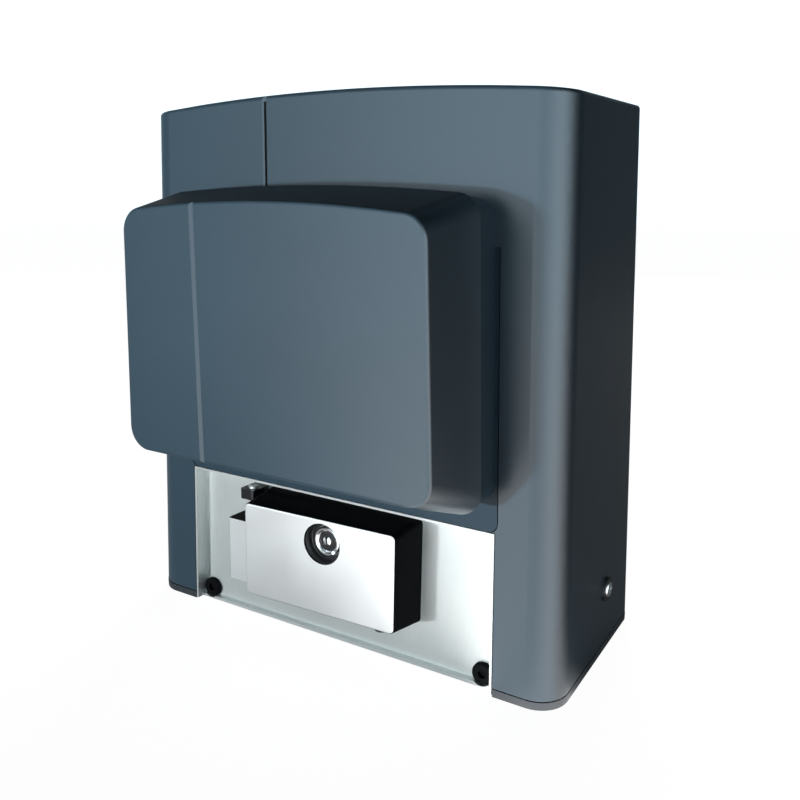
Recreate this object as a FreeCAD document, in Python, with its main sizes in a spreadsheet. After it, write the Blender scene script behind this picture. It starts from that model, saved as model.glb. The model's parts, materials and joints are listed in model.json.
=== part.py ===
import FreeCAD, Part
import Sketcher
import math
import os
import re
from types import SimpleNamespace
from FreeCAD import Placement, Rotation, Vector

# Sliding gate motor. Millimetres, +Z up, front towards -Y, pinion towards +Y.
# The origin is the centre of the four foot bolts, on the ground.

doc = FreeCAD.newDocument("SlidingGateMotor")
sheet = doc.addObject("Spreadsheet::Sheet", "Sizes")

sizeRows = (
    # outer cover and plinth
    ("coverWidth", 320, "width over the sides at the ground"),
    ("coverDepth", 136, "front to back at the ground"),
    ("coverHeight", 341, "height of the top corners above the ground"),
    ("archRise", 7, "crown of the top above its corners"),
    ("sideDraft", 12.6, "how far each side leans in over the height"),
    ("frontLean", 13.4, "how far the front leans back over the height"),
    ("cornerRadius", 19, "upright front corners"),
    ("rearRadius", 5, "upright rear corners"),
    ("topRounding", 2.5, "rounding of the top edges"),
    ("coverWall", 3, "wall of the cover"),
    ("plinthHeight", 5, "plinth under the cover"),
    ("seam", 0.6, "open seam between outer mouldings"),
    ("grooveOffset", 47.5, "groove to the left of the middle"),
    ("grooveWide", 3.4, "width of the groove"),
    ("grooveDeep", 1.2, "depth of the groove"),
    # front plate and its window
    ("plateHalfWidth", 119.4, "half width of the front plate at the ground"),
    ("plateTaper", 2.6, "how far each side of the plate leans in"),
    ("plateTop", 101.8, "top of the front plate"),
    ("plateRecess", 9, "plate face behind the cover face"),
    ("plateThick", 4, "thickness of the plate"),
    ("rimWide", 1.5, "edge of the raised rim"),
    ("plateFoot", 0.7, "bottom edge of the plate"),
    ("ledgeHeight", 3, "ledge along the foot of the plate"),
    ("ledgeDeep", 4, "how far the ledge stands out"),
    ("plateScrewOffset", 110, "corner screws from the middle"),
    ("plateScrewHeight", 8.5, "corner screws above the ground"),
    ("plateScrewHead", 7, "radius of a corner screw head"),
    ("windowLeft", 50, "window behind the door, left of the middle"),
    ("windowRight", 60, "window behind the door, right of the middle"),
    ("windowLow", 35, "bottom edge of the window"),
    ("windowHigh", 90, "top edge of the window"),
    # release door
    ("doorLeft", 50.2, "door front, left of the middle"),
    ("doorRight", 62.4, "door front, right of the middle"),
    ("doorLow", 31.4, "bottom edge of the door"),
    ("doorHigh", 94.6, "top edge of the door"),
    ("doorProudLeft", 23, "door front before the cover face at its left"),
    ("doorProudRight", 19, "door front before the cover face at its right"),
    ("doorDraft", 3, "how far the door widens towards the plate"),
    ("doorRounding", 3.5, "corners of the door"),
    ("doorEdge", 1.2, "rounding of the door front edge"),
    ("doorWall", 3, "wall of the door"),
    ("doorGap", 0.5, "door to plate"),
    ("tabWidth", 15.2, "hinge tab, from the door side"),
    ("tabLow", 38.5, "bottom of the hinge tab"),
    ("tabHigh", 81, "top of the hinge tab"),
    ("hingeFromDoor", 10.8, "hinge axis left of the door side"),
    ("hingeStandOff", 11, "hinge axis before the plate"),
    ("hingePinRadius", 2, "hinge pin"),
    ("runningFit", 0.05, "radial clearance of a pin that turns"),
    ("earLeft", 7.5, "black hinge bracket, left of the hinge axis"),
    ("earRight", 4.5, "black hinge bracket, right of the hinge axis"),
    ("earLow", 89.5, "underside of the hinge bracket"),
    ("earHigh", 96.5, "top of the hinge bracket"),
    ("stopRadius", 4.6, "rubber stops under the door"),
    ("stopProud", 1.6, "stops below the door edge"),
    ("stopOffset", 48.5, "stops from the middle"),
    # lock
    ("lockOffset", 10.3, "lock right of the middle"),
    ("lockHeight", 78.6, "lock above the ground"),
    ("lockWellRadius", 13.4, "dark well around the lock"),
    ("lockWellDeep", 7.6, "depth of the well"),
    ("lockRadius", 9.8, "lock cylinder"),
    ("lockPlugRadius", 6.8, "turning plug"),
    ("lockLength", 27, "lock cylinder length"),
    ("lockNutRadius", 13, "lock nut across its corners"),
    ("lockNutThick", 4, "lock nut"),
    ("tongueReach", 17, "lock tongue from the lock axis"),
    ("tongueThick", 2, "lock tongue"),
    # control box
    ("panelInset", 37.7, "flush panel from the cover side"),
    ("panelLow", 102.4, "bottom of the flush panel"),
    ("panelHigh", 262, "top of the flush panel, behind the box"),
    ("panelThick", 3, "flush panel"),
    ("panelCorner", 6, "lower corners of the flush panel"),
    ("rimOut", 20.7, "box rim before the cover face"),
    ("rimLow", 117.5, "bottom of the box rim"),
    ("rimHigh", 289.4, "top corners of the box rim"),
    ("rimHalfLow", 118, "half width of the rim at its bottom"),
    ("rimHalfHigh", 110.4, "half width of the rim at its top"),
    ("rimRise", 4.8, "crown of the rim top"),
    ("faceOutLow", 62.2, "box face before the cover face, bottom"),
    ("faceOutHigh", 64.4, "box face before the cover face, top"),
    ("faceLow", 131.8, "bottom of the box face"),
    ("faceHigh", 278.3, "top corners of the box face"),
    ("faceHalfLow", 109.2, "half width of the face at its bottom"),
    ("faceHalfHigh", 103.5, "half width of the face at its top"),
    ("faceRise", 6.3, "crown of the face top"),
    ("boxCorner", 15, "corners of the box"),
    ("boxEdge", 2.2, "rounding of the face edge"),
    ("boxWall", 2.6, "wall of the box"),
    ("neckInset", 1.8, "neck behind the rim of the box cover"),
    ("tongueIn", 9, "neck lip inside the box cover"),
    ("lipGap", 0.4, "neck lip to box cover"),
    ("sealWide", 1.6, "box seal"),
    ("boxScrewRadius", 1.5, "screws under the box"),
    # gear unit
    ("footHalfWidth", 149, "half width of the cast foot"),
    ("footFront", 54.6, "foot in front of the bolt centre"),
    ("footBack", 60, "foot behind the bolt centre"),
    ("footThick", 8, "cast foot"),
    ("boltSpreadX", 180, "foot bolts, left to right"),
    ("boltSpreadY", 88, "foot bolts, front to back"),
    ("boltHoleRadius", 6, "foot bolt holes"),
    ("cableX", 76, "cable entry right of the middle"),
    ("cableY", -22, "cable entry behind the bolt centre"),
    ("cableLong", 14, "half length of the cable entry"),
    ("cableShort", 11, "half width of the cable entry"),
    ("levelOffset", 136, "levelling screws from the middle"),
    ("levelRadius", 5, "levelling screws"),
    ("levelLength", 24, "levelling screws"),
    ("levelNutRadius", 9.2, "lock nut across its corners"),
    ("levelNutThick", 6, "lock nut"),
    ("shaftOffset", 22, "output shaft left of the middle"),
    ("shaftHeight", 82, "output shaft above the ground"),
    ("gearModule", 2, "worm gear module"),
    ("wheelTeeth", 40, "worm wheel teeth"),
    ("wormPitchRadius", 9, "worm pitch radius"),
    ("meshGap", 0.4, "flank clearance of the worm gear"),
    ("wheelWide", 16, "worm wheel face"),
    ("wheelMiddle", 9, "middle plane of the worm wheel"),
    ("wormLength", 40, "worm thread"),
    ("chamberWall", 8, "gear casing wall"),
    ("chamberFront", 46, "gear casing before the bolt centre"),
    ("chamberBack", 52, "gear casing behind the bolt centre"),
    ("chamberFloor", 36, "floor of the gear chamber"),
    ("chamberTop", 142, "top of the gear casing"),
    ("chamberRoof", 12, "roof of the gear casing"),
    ("flangeThick", 8, "rear casing cover"),
    ("bossRadius", 34, "rear boss"),
    ("bossProud", 5, "rear boss behind the casing cover"),
    ("casingScrewRadius", 2.5, "casing screws"),
    ("outputRadius", 12.5, "output shaft"),
    ("journalRadius", 10, "front journal of the output shaft"),
    ("frontBearingOuter", 21, "front output bearing"),
    ("rearBearingOuter", 23.5, "rear output bearing"),
    ("bearingWide", 12, "bearings"),
    ("frontBearingStart", -37, "front face of the front bearing"),
    ("rearBearingStart", 44, "front face of the rear bearing"),
    ("sealThick", 6, "shaft seal"),
    ("shaftFront", -36.5, "front end of the output shaft"),
    ("shaftBack", 98, "rear end of the output shaft"),
    ("hubRadius", 23, "hub of the worm wheel"),
    ("hubFront", -4.7, "front face of the hub"),
    ("clutchStart", -15, "front face of the clutch ring"),
    ("clutchWide", 10, "clutch ring"),
    ("clutchTravel", 5.5, "clutch stroke on release"),
    ("dogDeep", 4, "clutch dogs"),
    ("dogCount", 6, "clutch dogs"),
    ("dogWide", 7, "clutch dogs"),
    ("slideGap", 0.3, "clearance of sliding pieces"),
    ("rodRadius", 4, "release rod"),
    ("rodHeadRadius", 7.5, "head of the release rod"),
    ("rodHeadThick", 5, "head of the release rod"),
    ("crossPinRadius", 2.5, "clutch cross pin"),
    ("springWire", 0.8, "clutch spring wire radius"),
    ("springRoom", 11, "recess for the spring in the hub"),
    ("springOuter", 17.4, "recess for the spring in the hub"),
    # pinion
    ("pinionModule", 4, "pinion module"),
    ("pinionTeeth", 16, "pinion teeth"),
    ("pinionWide", 28, "pinion face"),
    ("pinionStart", 70, "front face of the pinion"),
    ("keyWide", 8, "pinion key"),
    ("pinionScrewRadius", 4, "pinion screw"),
    # motor
    ("motorRadius", 46, "stator core"),
    ("statorBore", 26.4, "stator bore"),
    ("rotorRadius", 26, "rotor core"),
    ("coreBottom", 160, "bottom of the motor core"),
    ("coreHeight", 66, "height of the motor core"),
    ("bellRadius", 49, "motor end bells"),
    ("bellThick", 18, "lower end bell"),
    ("topBellThick", 20, "upper end bell"),
    ("motorShaftRadius", 6, "motor shaft"),
    ("motorBearingOuter", 16, "motor bearings"),
    ("motorBearingWide", 10, "motor bearings"),
    ("slotCount", 12, "stator slots"),
    ("runCapacitorOffset", 112, "run capacitor to the right of the middle"),
    # limit switch
    ("limitLeft", 74, "left side of the limit switch housing"),
    ("limitWide", 48, "limit switch housing"),
    ("limitHigh", 36, "limit switch housing"),
    ("limitDeep", 27, "limit switch housing"),
    ("strikerLength", 44, "striker above its axis"),
    ("strikerRadius", 3, "striker spring"),
    # control board
    ("boardWidth", 186, "circuit board"),
    ("boardHeight", 118, "circuit board"),
    ("boardLow", 140, "bottom edge of the circuit board"),
    ("boardThick", 1.6, "circuit board"),
    ("boardEdge", 6, "board screws from the edges of the board"),
    ("spacerLength", 10, "posts behind the board"),
    ("postRadius", 3.6, "posts behind the board"),
    ("canDrop", 26, "smoothing capacitors below the top of the board"),
    ("buttonDrop", 42, "programming buttons below the top of the board"),
    ("buttonTravel", 0.8, "stroke of a programming button"),
    ("buttonCount", 2, "programming buttons"),
    ("buttonPitch", 16, "programming buttons, side by side"),
    # side fixing
    ("sideScrewBack", 20, "side screws behind the middle"),
    ("sideScrewHeight", 42, "side screws above the ground"),
    ("sideScrewRadius", 3, "side screws"),
    ("sideWasherRadius", 7.9, "black washers"),
    ("washerSunk", 0.7, "washer seat below the side of the cover"),
    ("bracketReach", 147, "side lugs of the foot from the middle"),
)

for row, (alias, value, note) in enumerate(sizeRows, 1):
    sheet.set(f"A{row}", alias)
    sheet.set(f"B{row}", str(value))
    sheet.set(f"C{row}", note)
    sheet.setAlias(f"B{row}", alias)
doc.recompute()

s = SimpleNamespace(**{alias: float(sheet.get(alias)) for alias, value, note in sizeRows})
aliases = {alias for alias, value, note in sizeRows}
pieces = []


def link(formula):
    """Point the words of a formula at the cells of the sheet."""
    return re.sub(r"[A-Za-z]\w*", lambda word: f"Sizes.{word.group()}" if word.group() in aliases
                  else word.group(), str(formula))


def number(formula):
    result = sheet.evalExpression(link(formula))
    return float(getattr(result, "Value", result))


def newBody(name, place=None):
    body = doc.addObject("PartDesign::Body", name)
    body.Label = name
    body.Placement = place or Placement()
    pieces.append(body)
    return body


def originItem(body, role):
    return next(item for item in body.Origin.OriginFeatures if item.Role == role)


def newSketch(body, role="XY_Plane", lift="0"):
    sketch = body.newObject("Sketcher::SketchObject", body.Name + "_sketch")
    sketch.AttachmentSupport = [(originItem(body, role), "")]
    sketch.MapMode = "FlatFace"
    sketch.setExpression("AttachmentOffset.Base.z", link(lift))
    return sketch


def hold(sketch, kind, formula, *where):
    index = sketch.addConstraint(Sketcher.Constraint(kind, *where, number(formula)))
    sketch.setExpression(f"Constraints[{index}]", link(formula))


def polygon(sketch, corners):
    """Closed line loop whose corners are held by formulas."""
    first = sketch.GeometryCount
    spots = [Vector(number(x), number(y), 0) for x, y in corners]
    count = len(spots)
    for step in range(count):
        sketch.addGeometry(Part.LineSegment(spots[step], spots[(step + 1) % count]), False)
    for step in range(count):
        sketch.addConstraint(Sketcher.Constraint(
            "Coincident", first + step, 2, first + (step + 1) % count, 1))
    for step, (x, y) in enumerate(corners):
        hold(sketch, "DistanceX", x, -1, 1, first + step, 1)
        hold(sketch, "DistanceY", y, -1, 1, first + step, 1)


def rectangle(sketch, left, right, low, high):
    polygon(sketch, [(left, low), (right, low), (right, high), (left, high)])


def circle(sketch, x, y, radius):
    index = sketch.addGeometry(
        Part.Circle(Vector(number(x), number(y), 0), Vector(0, 0, 1), number(radius)), False)
    hold(sketch, "Radius", radius, index)
    hold(sketch, "DistanceX", x, -1, 1, index, 3)
    hold(sketch, "DistanceY", y, -1, 1, index, 3)


def pad(body, sketch, length, back=False):
    feature = body.newObject("PartDesign::Pad", body.Name + "_pad")
    feature.Profile = sketch
    feature.Reversed = back
    feature.setExpression("Length", link(length))
    return feature


def pocket(body, sketch, length=None, back=False):
    feature = body.newObject("PartDesign::Pocket", body.Name + "_pocket")
    feature.Profile = sketch
    feature.Reversed = back
    if length is None:
        feature.Type = "ThroughAll"
    else:
        feature.setExpression("Length", link(length))
    return feature


def polarPattern(body, feature, count):
    pattern = body.newObject("PartDesign::PolarPattern", body.Name + "_pattern")
    pattern.Originals = [feature]
    pattern.Axis = (originItem(body, "Z_Axis"), [""])
    pattern.Angle = 360
    pattern.setExpression("Occurrences", link(count))
    body.Tip = pattern


def turned(name, profile, place=None):
    """Body of revolution about its own Z from radius and height pairs."""
    body = newBody(name, place)
    sketch = newSketch(body, "XZ_Plane")
    polygon(sketch, profile)
    feature = body.newObject("PartDesign::Revolution", name + "_turn")
    feature.Profile = sketch
    feature.ReferenceAxis = (sketch, ["V_Axis"])
    feature.Angle = 360
    return body


def ring(inner, outer, low, high):
    return [(inner, low), (outer, low), (outer, high), (inner, high)]


# Helpers: plain solids and groups

def addShape(name, shape, place=None):
    feature = doc.addObject("Part::Feature", name)
    feature.Shape = shape
    feature.Placement = place or Placement()
    feature.Label = name
    pieces.append(feature)
    return feature


def block(x0, x1, y0, y1, z0, z1):
    return Part.makeBox(x1 - x0, y1 - y0, z1 - z0, Vector(x0, y0, z0))


def rod(radius, start, length, along=Vector(0, 0, 1)):
    return Part.makeCylinder(radius, length, start, along)


def hexagon(radius, start, length, along=Vector(0, 0, 1)):
    corners = [Vector(radius * math.cos(math.radians(60 * k)), radius * math.sin(math.radians(60 * k)), 0)
               for k in range(7)]
    solid = Part.Face(Part.makePolygon(corners)).extrude(Vector(0, 0, length))
    solid.Placement = Placement(start, Rotation(Vector(0, 0, 1), along))
    return solid


def group(solids):
    return Part.makeCompound(solids)


def roundedEdges(solid, radius, chosen):
    return solid.makeFillet(radius, [edge for edge in solid.Edges if chosen(edge)])


def bearingSolids(bore, outer, width, ballCount):
    """Inner ring, outer ring and balls on the Z axis, from 0 to the width."""
    middle = (bore + outer) / 2
    ballRadius = (outer - bore) * 0.3
    land = (outer - bore) * 0.28
    track = Part.makeTorus(middle, ballRadius + s.runningFit, Vector(0, 0, width / 2))
    inner = rod(bore + land, Vector(), width).cut(rod(bore, Vector(), width)).cut(track)
    outside = rod(outer, Vector(), width).cut(rod(outer - land, Vector(), width)).cut(track)
    balls = [Part.makeSphere(ballRadius, Vector(middle * math.cos(2 * math.pi * k / ballCount),
                                                middle * math.sin(2 * math.pi * k / ballCount), width / 2))
             for k in range(ballCount)]
    return [inner, outside] + balls


def placed(solid, place):
    copy = solid.copy()
    copy.Placement = place.multiply(copy.Placement)
    return copy


# Frames: the leaning front, and the axes of the shafts

lean = math.degrees(math.atan(s.frontLean / s.coverHeight))
frontFrame = Placement(Vector(0, -s.coverDepth / 2, 0), Rotation(Vector(1, 0, 0), -lean))
towardsBack = Rotation(Vector(1, 0, 0), -90)
outputAxis = Placement(Vector(-s.shaftOffset, 0, s.shaftHeight), towardsBack)
wheelPitchRadius = s.gearModule * s.wheelTeeth / 2
motorX = -s.shaftOffset + wheelPitchRadius + s.wormPitchRadius
motorAxis = Placement(Vector(motorX, s.wheelMiddle, 0), Rotation())
hingeX = -s.doorLeft - s.hingeFromDoor
hingeY = s.plateRecess - s.hingeStandOff


def alongOutput(y):
    return outputAxis.multiply(Placement(Vector(0, 0, y), Rotation()))


# Outer cover, plinth and their fixing

def coverSection(height, inset):
    """Square outline of the cover at a height, set in by a wall."""
    share = height / s.coverHeight
    half = s.coverWidth / 2 - s.sideDraft * share - inset
    front = -s.coverDepth / 2 + s.frontLean * share + inset
    back = s.coverDepth / 2 - inset
    corners = [Vector(-half, front, height), Vector(half, front, height), Vector(half, back, height),
               Vector(-half, back, height)]
    return Part.makePolygon(corners + corners[:1])


def coverForm(low, inset, crownDrop=0.0):
    """Drafted body of the cover from a height up to its arched top."""
    above = s.coverHeight + s.archRise + 5
    tower = Part.makeLoft([coverSection(low, inset), coverSection(above, inset)], True, True)

    def upright(edge):
        return edge.BoundBox.ZLength > above / 2

    tower = roundedEdges(tower, s.cornerRadius - inset, lambda edge: upright(edge) and edge.CenterOfMass.y < 0)
    tower = roundedEdges(tower, s.rearRadius - inset, lambda edge: (
        upright(edge) and edge.CenterOfMass.y > s.coverDepth / 4))
    topHalf = s.coverWidth / 2 - s.sideDraft
    archRadius = (topHalf ** 2 + s.archRise ** 2) / (2 * s.archRise)
    centreHeight = s.coverHeight + s.archRise - archRadius
    wide = s.coverWidth

    def crown(x):
        return Vector(x, -s.coverDepth, centreHeight + math.sqrt((archRadius - crownDrop) ** 2 - x ** 2))

    foot = [Vector(wide, -s.coverDepth, low - 5), Vector(-wide, -s.coverDepth, low - 5)]
    outline = Part.Wire([Part.Arc(crown(-wide), crown(0), crown(wide)).toShape(),
                         Part.LineSegment(crown(wide), foot[0]).toShape(),
                         Part.LineSegment(foot[0], foot[1]).toShape(),
                         Part.LineSegment(foot[1], crown(-wide)).toShape()])
    return tower.common(Part.Face(outline).extrude(Vector(0, 2 * s.coverDepth, 0)))


def panelHalfAt(height):
    return s.coverWidth / 2 - s.sideDraft * height / s.coverHeight - s.panelInset


def plateHalfAt(height):
    return s.plateHalfWidth - s.plateTaper * height / s.plateTop


def panelOutline(gap, low, high, depthFrom, depth):
    """Flush panel in the leaning front frame, widened by a gap."""
    corners = [Vector(-panelHalfAt(low) - gap, 0, low - gap), Vector(panelHalfAt(low) + gap, 0, low - gap),
               Vector(panelHalfAt(high) + gap, 0, high + gap), Vector(-panelHalfAt(high) - gap, 0, high + gap)]
    face = Part.Face(Part.makePolygon(corners + corners[:1]))
    face.translate(Vector(0, depthFrom, 0))
    solid = face.extrude(Vector(0, depth, 0))
    lower = (low + high) / 2
    return roundedEdges(solid, s.panelCorner + gap, lambda edge: (
        abs(edge.tangentAt(edge.FirstParameter).y) > 0.99 and edge.CenterOfMass.z < lower))


def panelTop():
    """The flush panel also backs the upper posts of the circuit board."""
    return max(s.panelHigh, s.boardLow + s.boardHeight - s.boardEdge + s.postRadius)


def plateOutline(gap, inset, depthFrom, depth, low=s.plateFoot):
    """Front plate in the leaning front frame, widened by a gap or set in."""
    top = s.plateTop + gap - inset
    grow = gap - inset
    corners = [Vector(-plateHalfAt(low) - grow, 0, low), Vector(plateHalfAt(low) + grow, 0, low),
               Vector(plateHalfAt(top) + grow, 0, top), Vector(-plateHalfAt(top) - grow, 0, top)]
    face = Part.Face(Part.makePolygon(corners + corners[:1]))
    face.translate(Vector(0, depthFrom, 0))
    return face.extrude(Vector(0, depth, 0))


def mainCover():
    floor = s.plinthHeight + s.seam
    outer = coverForm(floor, 0)
    outer = roundedEdges(outer, s.topRounding, lambda edge: edge.BoundBox.ZMin > s.coverHeight - 2)
    inner = coverForm(floor - 1, s.coverWall, s.coverWall)
    shell = outer.cut(inner)
    depth = s.coverWall + s.cornerRadius
    opening = panelOutline(s.seam, s.panelLow, panelTop(), -1, depth)
    notch = plateOutline(s.seam, 0, -1, depth, -5)
    shell = shell.cut(placed(opening, frontFrame)).cut(placed(notch, frontFrame))
    # groove down the front and over the crown
    reach = s.coverHeight + s.archRise + 5
    edge = [Vector(-s.grooveOffset - s.grooveWide / 2, -0.01, 0),
            Vector(-s.grooveOffset + s.grooveWide / 4, s.grooveDeep, 0),
            Vector(-s.grooveOffset + s.grooveWide / 2, s.grooveDeep, 0),
            Vector(-s.grooveOffset + s.grooveWide / 2, -0.01, 0)]
    groove = Part.Face(Part.makePolygon(edge + edge[:1])).extrude(Vector(0, 0, reach))
    shell = shell.cut(placed(groove, frontFrame))
    # rear opening around the gear casing and the limit switch
    behind = s.coverDepth / 2 - s.coverWall - 2
    left = -s.shaftOffset - wheelPitchRadius - 14 - s.seam
    right = motorX + 23 + s.seam
    rear = block(left, right, behind, s.coverDepth, -5, s.chamberTop + s.seam)
    switch = block(-s.limitLeft - s.seam, -s.limitLeft + s.limitWide + s.seam, behind, s.coverDepth,
                   s.chamberTop - 5, s.chamberTop + s.limitHigh + s.seam)
    shell = shell.cut(rear).cut(switch)
    # bosses and holes for the side screws
    for side in (-1, 1):
        wallX = s.coverWidth / 2 - s.sideDraft * s.sideScrewHeight / s.coverHeight
        start = Vector(side * (s.bracketReach + 3 + s.slideGap), s.sideScrewBack, s.sideScrewHeight)
        boss = rod(8, start, wallX - s.bracketReach - 4, Vector(side, 0, 0))
        hole = rod(s.sideScrewRadius + s.slideGap, Vector(side * (s.bracketReach - 8), s.sideScrewBack,
                   s.sideScrewHeight), wallX - s.bracketReach + 18, Vector(side, 0, 0))
        seat = rod(s.sideWasherRadius + 0.2, Vector(side * (wallX - s.washerSunk), s.sideScrewBack,
                                                    s.sideScrewHeight), 8, Vector(side, 0, 0))
        shell = shell.fuse(boss).cut(hole).cut(seat)
    addShape("main_cover", shell.removeSplitter())


def plinth():
    outline = Part.Face(coverSection(0, 0)).extrude(Vector(0, 0, s.plinthHeight))
    outline = roundedEdges(outline, s.cornerRadius, lambda edge: (
        edge.BoundBox.ZLength > 1 and edge.CenterOfMass.y < 0))
    outline = roundedEdges(outline, s.rearRadius, lambda edge: (
        edge.BoundBox.ZLength > 1 and edge.CenterOfMass.y > s.coverDepth / 2 - 0.1))
    gap = s.slideGap
    inside = block(-s.footHalfWidth - gap, s.footHalfWidth + gap, -s.footFront - gap, s.footBack + gap,
                   -1, s.plinthHeight + 1)
    notch = placed(plateOutline(s.seam, 0, -1, s.cornerRadius, -5), frontFrame)
    addShape("plinth", outline.cut(inside).cut(notch))


def sideFixing():
    screws = []
    washers = []
    for side in (-1, 1):
        centre = Vector(0, s.sideScrewBack, s.sideScrewHeight)
        out = Vector(side, 0, 0)
        wallX = s.coverWidth / 2 - s.sideDraft * s.sideScrewHeight / s.coverHeight
        seat = wallX - s.washerSunk
        washer = rod(s.sideWasherRadius, centre + out * seat, 2.2, out)
        dish = rod(5.6, centre + out * (seat + 0.9), 5, out)
        hole = rod(s.sideScrewRadius + 0.2, centre, wallX + s.sideWasherRadius, out)
        washers.append(washer.cut(dish).cut(hole))
        shank = rod(s.sideScrewRadius, centre + out * (s.bracketReach - 3), seat + 2 - s.bracketReach + 3, out)
        head = rod(5.2, centre + out * (seat + 0.9), 2.4, out)
        head = roundedEdges(head, 1.2, lambda edge: (
            abs(edge.CenterOfMass.x) > seat + 3 and edge.Length > 20))
        top = seat + 3.3
        low, high = sorted((side * (top - 1.2), side * (top + 1)))
        cross = block(low, high, s.sideScrewBack - 0.6, s.sideScrewBack + 0.6,
                      s.sideScrewHeight - 3, s.sideScrewHeight + 3)
        cross = cross.fuse(block(low, high, s.sideScrewBack - 3, s.sideScrewBack + 3,
                                 s.sideScrewHeight - 0.6, s.sideScrewHeight + 0.6))
        screws.append(shank.fuse(head).cut(cross))
    addShape("side_washers", group(washers))
    addShape("side_screws", group(screws))


# Front plate, release door, hinge and lock, in the leaning front frame

def frontPlate():
    plate = plateOutline(0, 0, s.plateRecess, s.plateThick)
    rim = plateOutline(0, 0, 0, s.plateRecess).cut(plateOutline(0, s.rimWide, -1, s.plateRecess + 2, -5))
    ledge = plateOutline(0, 0, s.plateRecess - s.ledgeDeep, s.ledgeDeep).common(
        block(-s.coverWidth, s.coverWidth, -5, 20, -1, s.ledgeHeight))
    boss = block(hingeX - 6, hingeX + 4.6, hingeY - 5, s.plateRecess, s.tabLow - 9, s.tabLow - s.doorGap)
    boss = roundedEdges(boss, 4, lambda edge: (
        edge.CenterOfMass.y < hingeY and abs(edge.tangentAt(edge.FirstParameter).z) > 0.99))
    plate = plate.fuse(rim).fuse(ledge).fuse(boss)
    window = block(-s.windowLeft, s.windowRight, 0, 30, s.windowLow, s.windowHigh)
    window = roundedEdges(window, 4, lambda edge: abs(edge.tangentAt(edge.FirstParameter).y) > 0.99)
    plate = plate.cut(window)
    pinHole = rod(s.hingePinRadius, Vector(hingeX, hingeY, s.tabLow - 7), 20)
    plate = plate.cut(pinHole)
    back = Vector(0, 1, 0)
    for side in (-1, 1):
        spot = Vector(side * s.plateScrewOffset, -2, s.plateScrewHeight)
        plate = plate.cut(rod(s.plateScrewHead + 0.3, spot, 2 + s.plateRecess, back))
        plate = plate.cut(rod(4.2, spot, 30, back))
    addShape("front_plate", plate.removeSplitter(), frontFrame)


def plateScrews():
    screws = []
    for side in (-1, 1):
        back = Vector(0, 1, 0)
        spot = Vector(side * s.plateScrewOffset, s.plateRecess, s.plateScrewHeight)
        head = rod(s.plateScrewHead, spot - back * 3.2, 3.2, back)
        head = roundedEdges(head, 1.4, lambda edge: (
            edge.CenterOfMass.y < s.plateRecess - 3 and edge.Length > 20))
        shank = rod(4, spot, 16, back)
        socket = hexagon(2.9, spot - back * 3.3, 2.4, back)
        screws.append(head.fuse(shank).cut(socket))
    addShape("plate_screws", group(screws), frontFrame)


def doorLoop(out, grow, inset=0.0):
    """Door outline: out is how far behind its front face it lies, grow its draft there."""
    left = -s.doorLeft - grow + inset
    right = s.doorRight + grow - inset
    low = s.doorLow - grow + inset
    high = s.doorHigh + grow - inset
    tilt = (s.doorProudLeft - s.doorProudRight) / (s.doorLeft + s.doorRight)

    def spot(x, z):
        depth = -s.doorProudLeft + tilt * (x + s.doorLeft) + out if out < s.doorProudRight else s.plateRecess
        return Vector(x, depth, z)

    return Part.makePolygon([spot(left, low), spot(right, low), spot(right, high), spot(left, high),
                             spot(left, low)])


def releaseDoor():
    back = s.plateRecess - s.doorGap
    outer = Part.makeLoft([doorLoop(0, 0), doorLoop(99, s.doorDraft)], True, True)
    outer = roundedEdges(outer, s.doorRounding, lambda edge: abs(edge.tangentAt(edge.FirstParameter).y) > 0.9)
    outer = roundedEdges(outer, s.doorEdge, lambda edge: edge.BoundBox.YMax < -s.doorProudRight + 0.6)
    inner = Part.makeLoft([doorLoop(s.doorWall, 0, s.doorWall), doorLoop(99, s.doorDraft, s.doorWall)], True, True)
    # hinge tab with its back rounded about the pin
    side = -s.doorLeft
    tab = block(side - s.tabWidth, side + 2, -s.doorProudLeft + 0.8, hingeY, s.tabLow, s.tabHigh)
    knuckleRadius = hingeX - (side - s.tabWidth)
    tab = tab.fuse(block(hingeX, side + 2, hingeY - 1, hingeY + knuckleRadius, s.tabLow, s.tabHigh))
    tab = tab.fuse(rod(knuckleRadius, Vector(hingeX, hingeY, s.tabLow), s.tabHigh - s.tabLow))
    tab = tab.removeSplitter()
    tab = roundedEdges(tab, 1.5, lambda edge: (
        edge.BoundBox.YMax < -s.doorProudLeft + 1 and edge.CenterOfMass.x < hingeX))
    door = outer.fuse(tab).cut(inner)
    # lock well, its sleeve and the pusher for the release rod
    front = -s.doorProudLeft - 2
    lock = Vector(s.lockOffset, front, s.lockHeight)
    along = Vector(0, 1, 0)
    wellFloor = -lockFace() + s.lockWellDeep
    sleeve = rod(s.lockWellRadius + 2.4, lock, wellFloor + 2.6 - front, along).common(
        Part.makeLoft([doorLoop(0.5, 0), doorLoop(99, s.doorDraft)], True, True))
    door = door.fuse(sleeve)
    door = door.cut(rod(s.lockWellRadius, lock, wellFloor - front, along))
    door = door.cut(rod(s.lockRadius - 1.2 + 0.05, lock, 60, along))
    pusher = rod(5.5, rodSpot(front + 4), pusherEnd() - front - 4, along).common(
        Part.makeLoft([doorLoop(0.5, 0), doorLoop(99, s.doorDraft)], True, True))
    door = door.fuse(pusher)
    door = door.common(block(-200, 200, -100, back, -5, 200))
    pinHole = rod(s.hingePinRadius + s.runningFit, Vector(hingeX, hingeY, 0), 200)
    door = door.cut(pinHole)
    for offset in (-s.stopOffset, s.stopOffset):
        door = door.cut(rod(2.6, Vector(offset, stopDepth(), s.doorLow - 5), 12))
    addShape("release_door", door.removeSplitter(), frontFrame)


def lockFace():
    """How far the door front stands before the cover face at the lock."""
    share = (s.lockOffset + s.doorLeft) / (s.doorRight + s.doorLeft)
    return s.doorProudLeft + (s.doorProudRight - s.doorProudLeft) * share


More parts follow.
